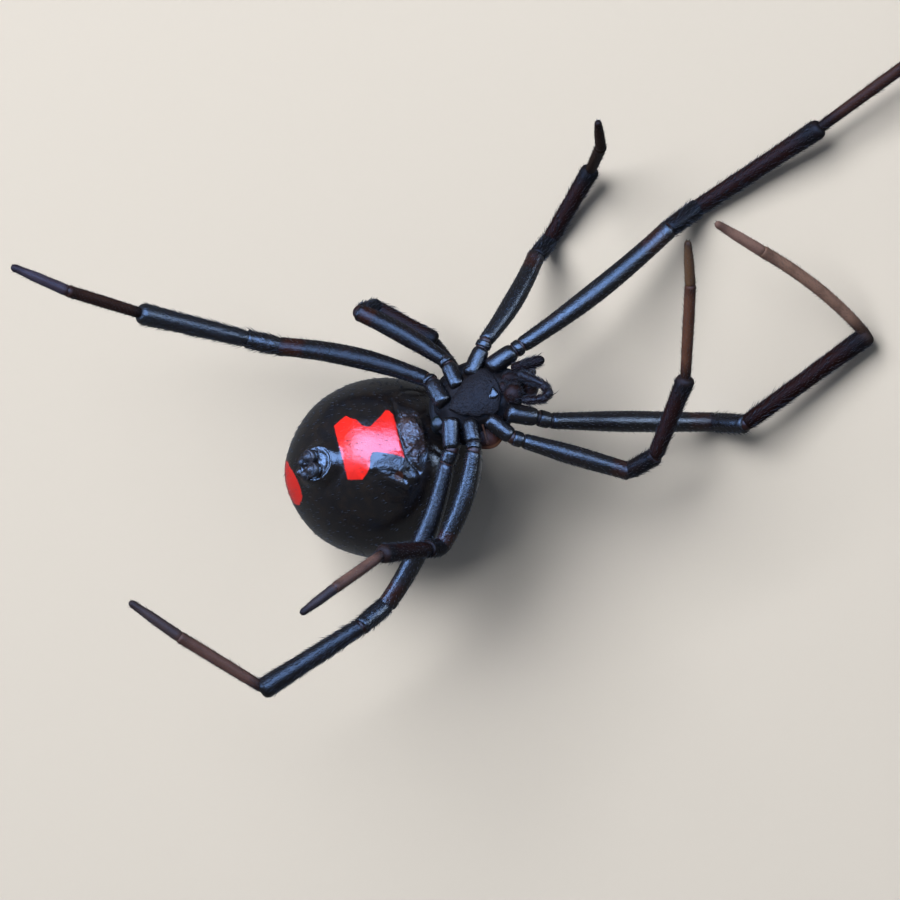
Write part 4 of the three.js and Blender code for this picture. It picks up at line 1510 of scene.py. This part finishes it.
class SPIDER_OT_mouthparts(SpiderOperator, bpy.types.Operator):
    """Adds the lip, the mouth plates, and the jaws with their fangs"""

    bl_idname = "spider.mouthparts"
    bl_label = "Mouthparts and jaws"

    def execute(self, context):
        colours = self.colours(context)
        dark = plain_finish("mouth_cuticle", (0.015, 0.006, 0.004), 0.5, 1.6, (0.007, 0.004, 0.004), 0.12)
        clear = plain_finish("lip_cuticle", colours.black, 0.16, 0.4)
        bm = new_bmesh()
        for half, centre, tilt in MOUTH_PLATES:
            blob(bm, half, centre, tilt)
        gather(bm, shaped(ball(40, 28), lip_place), Matrix.Translation(LIP_PLACE), 1)
        bmesh.ops.transform(bm, matrix=PROSOMA_FRAME, verts=bm.verts)
        new_piece("mouth_plates", bm, [dark, clear])
        hair = plain_finish("mouth_bristle", HAIR_BROWN, 0.4, 0.0)
        radius = self.sizes(context).bristle_radius / MM
        bristle_piece("mouth_bristles", mouth_roots(random.Random(40)), hair, radius)
        jaw = plain_finish("jaw_cuticle", colours.black, 0.2, 1.0, darker(colours.brown, 0.4))
        fang = plain_finish("fang", darker(colours.brown, 0.8), 0.15, 0.3, (0.03, 0.008, 0.004))
        for name, side in (("right", 1), ("left", -1)):
            bm = new_bmesh()
            rod(bm, *[sided(place, side) for place in JAW], JAW_RADII)
            path = [sided(place, side) for place in FANG]
            for start, end, near, far in zip(path, path[1:], FANG_RADII, FANG_RADII[1:]):
                rod(bm, start, end, (near, (near + far) / 2, far), material=1, sides=20)
            bmesh.ops.transform(bm, matrix=PROSOMA_FRAME, verts=bm.verts)
            new_piece(f"jaw_{name}_skin", bm, [jaw, fang], [f"jaw_{name}"])
        return {"FINISHED"}


# Radii of each feeler's pieces, as shares of the feeler's radius. The last ones hold to the end.
FEELER_SHARES = {
    "right": ((0.9, 1.0, 1.0), (1.0, 1.1, 1.1), (1.1, 1.15, 0.95)),
    "left": ((0.8, 0.95, 0.9),),
}
# How rough each feeler is and how strongly it mirrors.
FEELER_FINISHES = {"right": (0.45, 0.06), "left": (0.35, 0.16)}


def feeler_pieces(name):
    to_pose = POSE_FRAME.inverted() @ PROSOMA_FRAME
    joints = [to_pose @ Vector(joint) for joint in FEELERS[name]]
    pieces = []
    for i, (start, end) in enumerate(zip(joints, joints[1:])):
        last = i + 2 == len(joints)
        shares = FEELER_SHARES[name][min(i, len(FEELER_SHARES[name]) - 1)]
        radii = [share * FEELER_RADIUS for share in shares]
        pieces.append(LegPiece(start, end, radii, i, make=tip_profile if last else knob_profile))
    return pieces


class SPIDER_OT_feelers(SpiderOperator, bpy.types.Operator):
    """Adds the two feelers with their dense bristles"""

    bl_idname = "spider.feelers"
    bl_label = "Feelers"

    def execute(self, context):
        sizes, colours = self.sizes(context), self.colours(context)
        brown = darker(colours.brown, 0.15)
        soft = plain_finish("feeler_membrane", darker(colours.amber, 0.4), 0.45, 0.5, None, 0.2)
        hair = plain_finish("feeler_bristle", HAIR_BROWN, 0.4, 0.0)
        length, radius = sizes.bristle_length / MM, sizes.bristle_radius / MM
        for number, name in enumerate(FEELERS):
            rough, specular = FEELER_FINISHES[name]
            skin = plain_finish(f"feeler_cuticle_{name}", brown, rough, 1.0, colours.black, specular)
            pieces = feeler_pieces(name)
            bm = new_bmesh()
            for piece in pieces:
                piece.add_to(bm)
            for near, far in zip(pieces, pieces[1:]):
                joint_ball(bm, far, near.radii[-1], 1)
            bmesh.ops.transform(bm, matrix=POSE_FRAME, verts=bm.verts)
            new_piece(f"feeler_{name}_skin", bm, [skin, soft], [f"feeler_{name}"])
            dice = random.Random(30 + number)
            roots = leg_roots(pieces, sizes.feeler_bristles, length, dice, FEELER_COATS)
            bristle_piece(f"feeler_{name}_bristles", roots, hair, radius)
        return {"FINISHED"}


# A claw's radii from its root to its tip.
CLAW_RADII = (0.032, 0.028, 0.022, 0.015, 0.006)


def claw_path(foot, length, side):
    """Places along a claw, in the foot's own frame, bent down and a little outwards."""
    steps = len(CLAW_RADII) - 1
    for i in range(steps + 1):
        share = i / steps
        yield Vector((side * (0.05 + 0.02 * share), -0.9 * length * share ** 2, foot.length + length * share))


class SPIDER_OT_claws(SpiderOperator, bpy.types.Operator):
    """Adds the pair of claws at the end of each foot"""

    bl_idname = "spider.claws"
    bl_label = "Claws"

    def execute(self, context):
        length = self.sizes(context).claw_length / MM
        bm = new_bmesh()
        for name in POSE:
            foot = leg_pieces(name)[-1]
            for side in (-1, 1):
                path = list(claw_path(foot, length, side))
                for start, end, near, far in zip(path, path[1:], CLAW_RADII, CLAW_RADII[1:]):
                    shape = spun(tip_profile((end - start).length, (near, near, far), 3), 12)
                    gather(bm, shape, foot.frame @ rod_frame(start, end))
        bmesh.ops.transform(bm, matrix=POSE_FRAME, verts=bm.verts)
        horn = plain_finish("claw", self.colours(context).black, 0.2, 0.0)
        new_piece("claws", bm, [horn])
        return {"FINISHED"}


# The photo's view, in the pose frame.
IMAGE_RIGHT = Vector((0.97692, 0.0, -0.21359))
IMAGE_UP = Vector((-0.02722, 0.99185, -0.12449))
TO_CAMERA = Vector((0.21185, 0.12744, 0.96896))
CAMERA_PLACE = Vector((47.39, 27.63, 207.89))
# The light panels' places, and their sizes across and along the picture. The low side panels have colours of
# their own.
SKY_PLACE = (45, 175, 272)
SKY_SIZE = (440, 260)
SIDE_PANELS = (
    ((370, 132, 60), (120, 200), (0.5, 0.68, 1.0)),
    ((-269, 56, 185), (160, 120), (0.27, 0.485, 1.0)),
)
KEY_PLACE = (-120, 200, 300)
KEY_SIZE = (260, 260)
LIT_PLACE = Vector((2, 1, 4))
FLOOR_DROP = 1e-5


class SPIDER_OT_stage(SpiderOperator, bpy.types.Operator):
    """Adds the floor, the lights and the camera"""

    bl_idname = "spider.stage"
    bl_label = "Stage"

    def execute(self, context):
        stage = context.scene.spider_stage
        self.floor(context.scene, stage)
        self.panel("sky_panel", SKY_PLACE, SKY_SIZE, stage.sky_power, stage.sky, diffuse=False)
        for number, (place, size, colour) in enumerate(SIDE_PANELS):
            self.panel(f"side_panel_{number}", place, size, stage.side_power, colour, diffuse=False)
        self.panel("key_panel", KEY_PLACE, KEY_SIZE, stage.key_power, stage.key, glossy=False)
        self.air(context.scene, stage)
        self.camera(context.scene, stage)
        context.scene.view_settings.view_transform = "Standard"
        return {"FINISHED"}

    @staticmethod
    def floor(scene, stage):
        """A plain pale floor, just under the spider, that the cuticle doesn't mirror."""
        bm = bmesh.new()
        bmesh.ops.create_grid(bm, x_segments=1, y_segments=1, size=stage.floor_size / 2)
        bmesh.ops.translate(bm, verts=bm.verts, vec=(0, 0, -FLOOR_DROP))
        mesh = bpy.data.meshes.new("floor")
        bm.to_mesh(mesh)
        bm.free()
        finish = Finish("floor_paint")
        finish.set(Base_Color=(*stage.floor, 1.0), Roughness=0.9, Specular_IOR_Level=0.0)
        mesh.materials.append(finish.material)
        floor = bpy.data.objects.new("floor", mesh)
        scene.collection.objects.link(floor)
        floor.visible_glossy = False

    @staticmethod
    def panel(name, place, size, power, colour, diffuse=True, glossy=True):
        """A light panel that faces the spider, seen by matt surfaces, by glossy ones or by both."""
        light = bpy.data.lights.new(name, "AREA")
        light.shape = "RECTANGLE"
        light.size, light.size_y = size[0] * MM, size[1] * MM
        light.energy = power
        light.color = colour
        lamp = bpy.data.objects.new(name, light)
        start = ORIGIN + Vector(place) * MM
        lamp.location = start
        lamp.rotation_euler = (ORIGIN + LIT_PLACE * MM - start).to_track_quat("-Z", "Y").to_euler()
        lamp.visible_diffuse = diffuse
        lamp.visible_glossy = glossy
        bpy.context.scene.collection.objects.link(lamp)

    @staticmethod
    def air(scene, stage):
        """Even light from all round."""
        world = bpy.data.worlds.new("air")
        world.use_nodes = True
        background = world.node_tree.nodes["Background"]
        background.inputs["Color"].default_value = (*stage.air, 1.0)
        background.inputs["Strength"].default_value = stage.air_strength
        scene.world = world

    @staticmethod
    def camera(scene, stage):
        """A long lens at the photo's place, turned as the photo was."""
        camera = bpy.data.cameras.new("camera")
        camera.lens = stage.lens
        camera.sensor_width = 36.0
        camera.clip_start = 0.01
        eye = bpy.data.objects.new("camera", camera)
        turn = Matrix((IMAGE_RIGHT, IMAGE_UP, TO_CAMERA)).transposed().to_4x4()
        eye.matrix_world = Matrix.Translation(ORIGIN + CAMERA_PLACE * MM) @ turn
        scene.collection.objects.link(eye)
        scene.camera = eye


class SPIDER_PT_panel(bpy.types.Panel):
    """Lists the spider's settings and operators"""

    bl_label = "Black widow spider"
    bl_idname = "SPIDER_PT_panel"
    bl_space_type = "VIEW_3D"
    bl_region_type = "UI"
    bl_category = "Spider"

    def draw(self, context):
        for group in GROUPS:
            settings = getattr(context.scene, group)
            for key in settings.bl_rna.properties.keys():
                if key not in ("rna_type", "name"):
                    self.layout.prop(settings, key)
        for operator in OPERATORS:
            self.layout.operator(operator.bl_idname)


OPERATORS = (
    SPIDER_OT_legs,
    SPIDER_OT_claws,
    SPIDER_OT_abdomen,
    SPIDER_OT_spinnerets,
    SPIDER_OT_prosoma,
    SPIDER_OT_pedicel,
    SPIDER_OT_eyes,
    SPIDER_OT_mouthparts,
    SPIDER_OT_feelers,
    SPIDER_OT_stage,
)
GROUPS = {"spider_sizes": SpiderSizes, "spider_colours": SpiderColours, "spider_stage": SpiderStage}
CLASSES = (*GROUPS.values(), *OPERATORS, SPIDER_PT_panel)


def register():
    for each in CLASSES:
        bpy.utils.register_class(each)
    for key, group in GROUPS.items():
        setattr(bpy.types.Scene, key, PointerProperty(type=group))


def unregister():
    for key in GROUPS:
        delattr(bpy.types.Scene, key)
    for each in reversed(CLASSES):
        bpy.utils.unregister_class(each)


def main():
    """Builds the spider and its stage."""
    register()
    for operator in OPERATORS:
        space, name = operator.bl_idname.split(".")
        getattr(getattr(bpy.ops, space), name)()


if __name__ == "__main__":
    main()
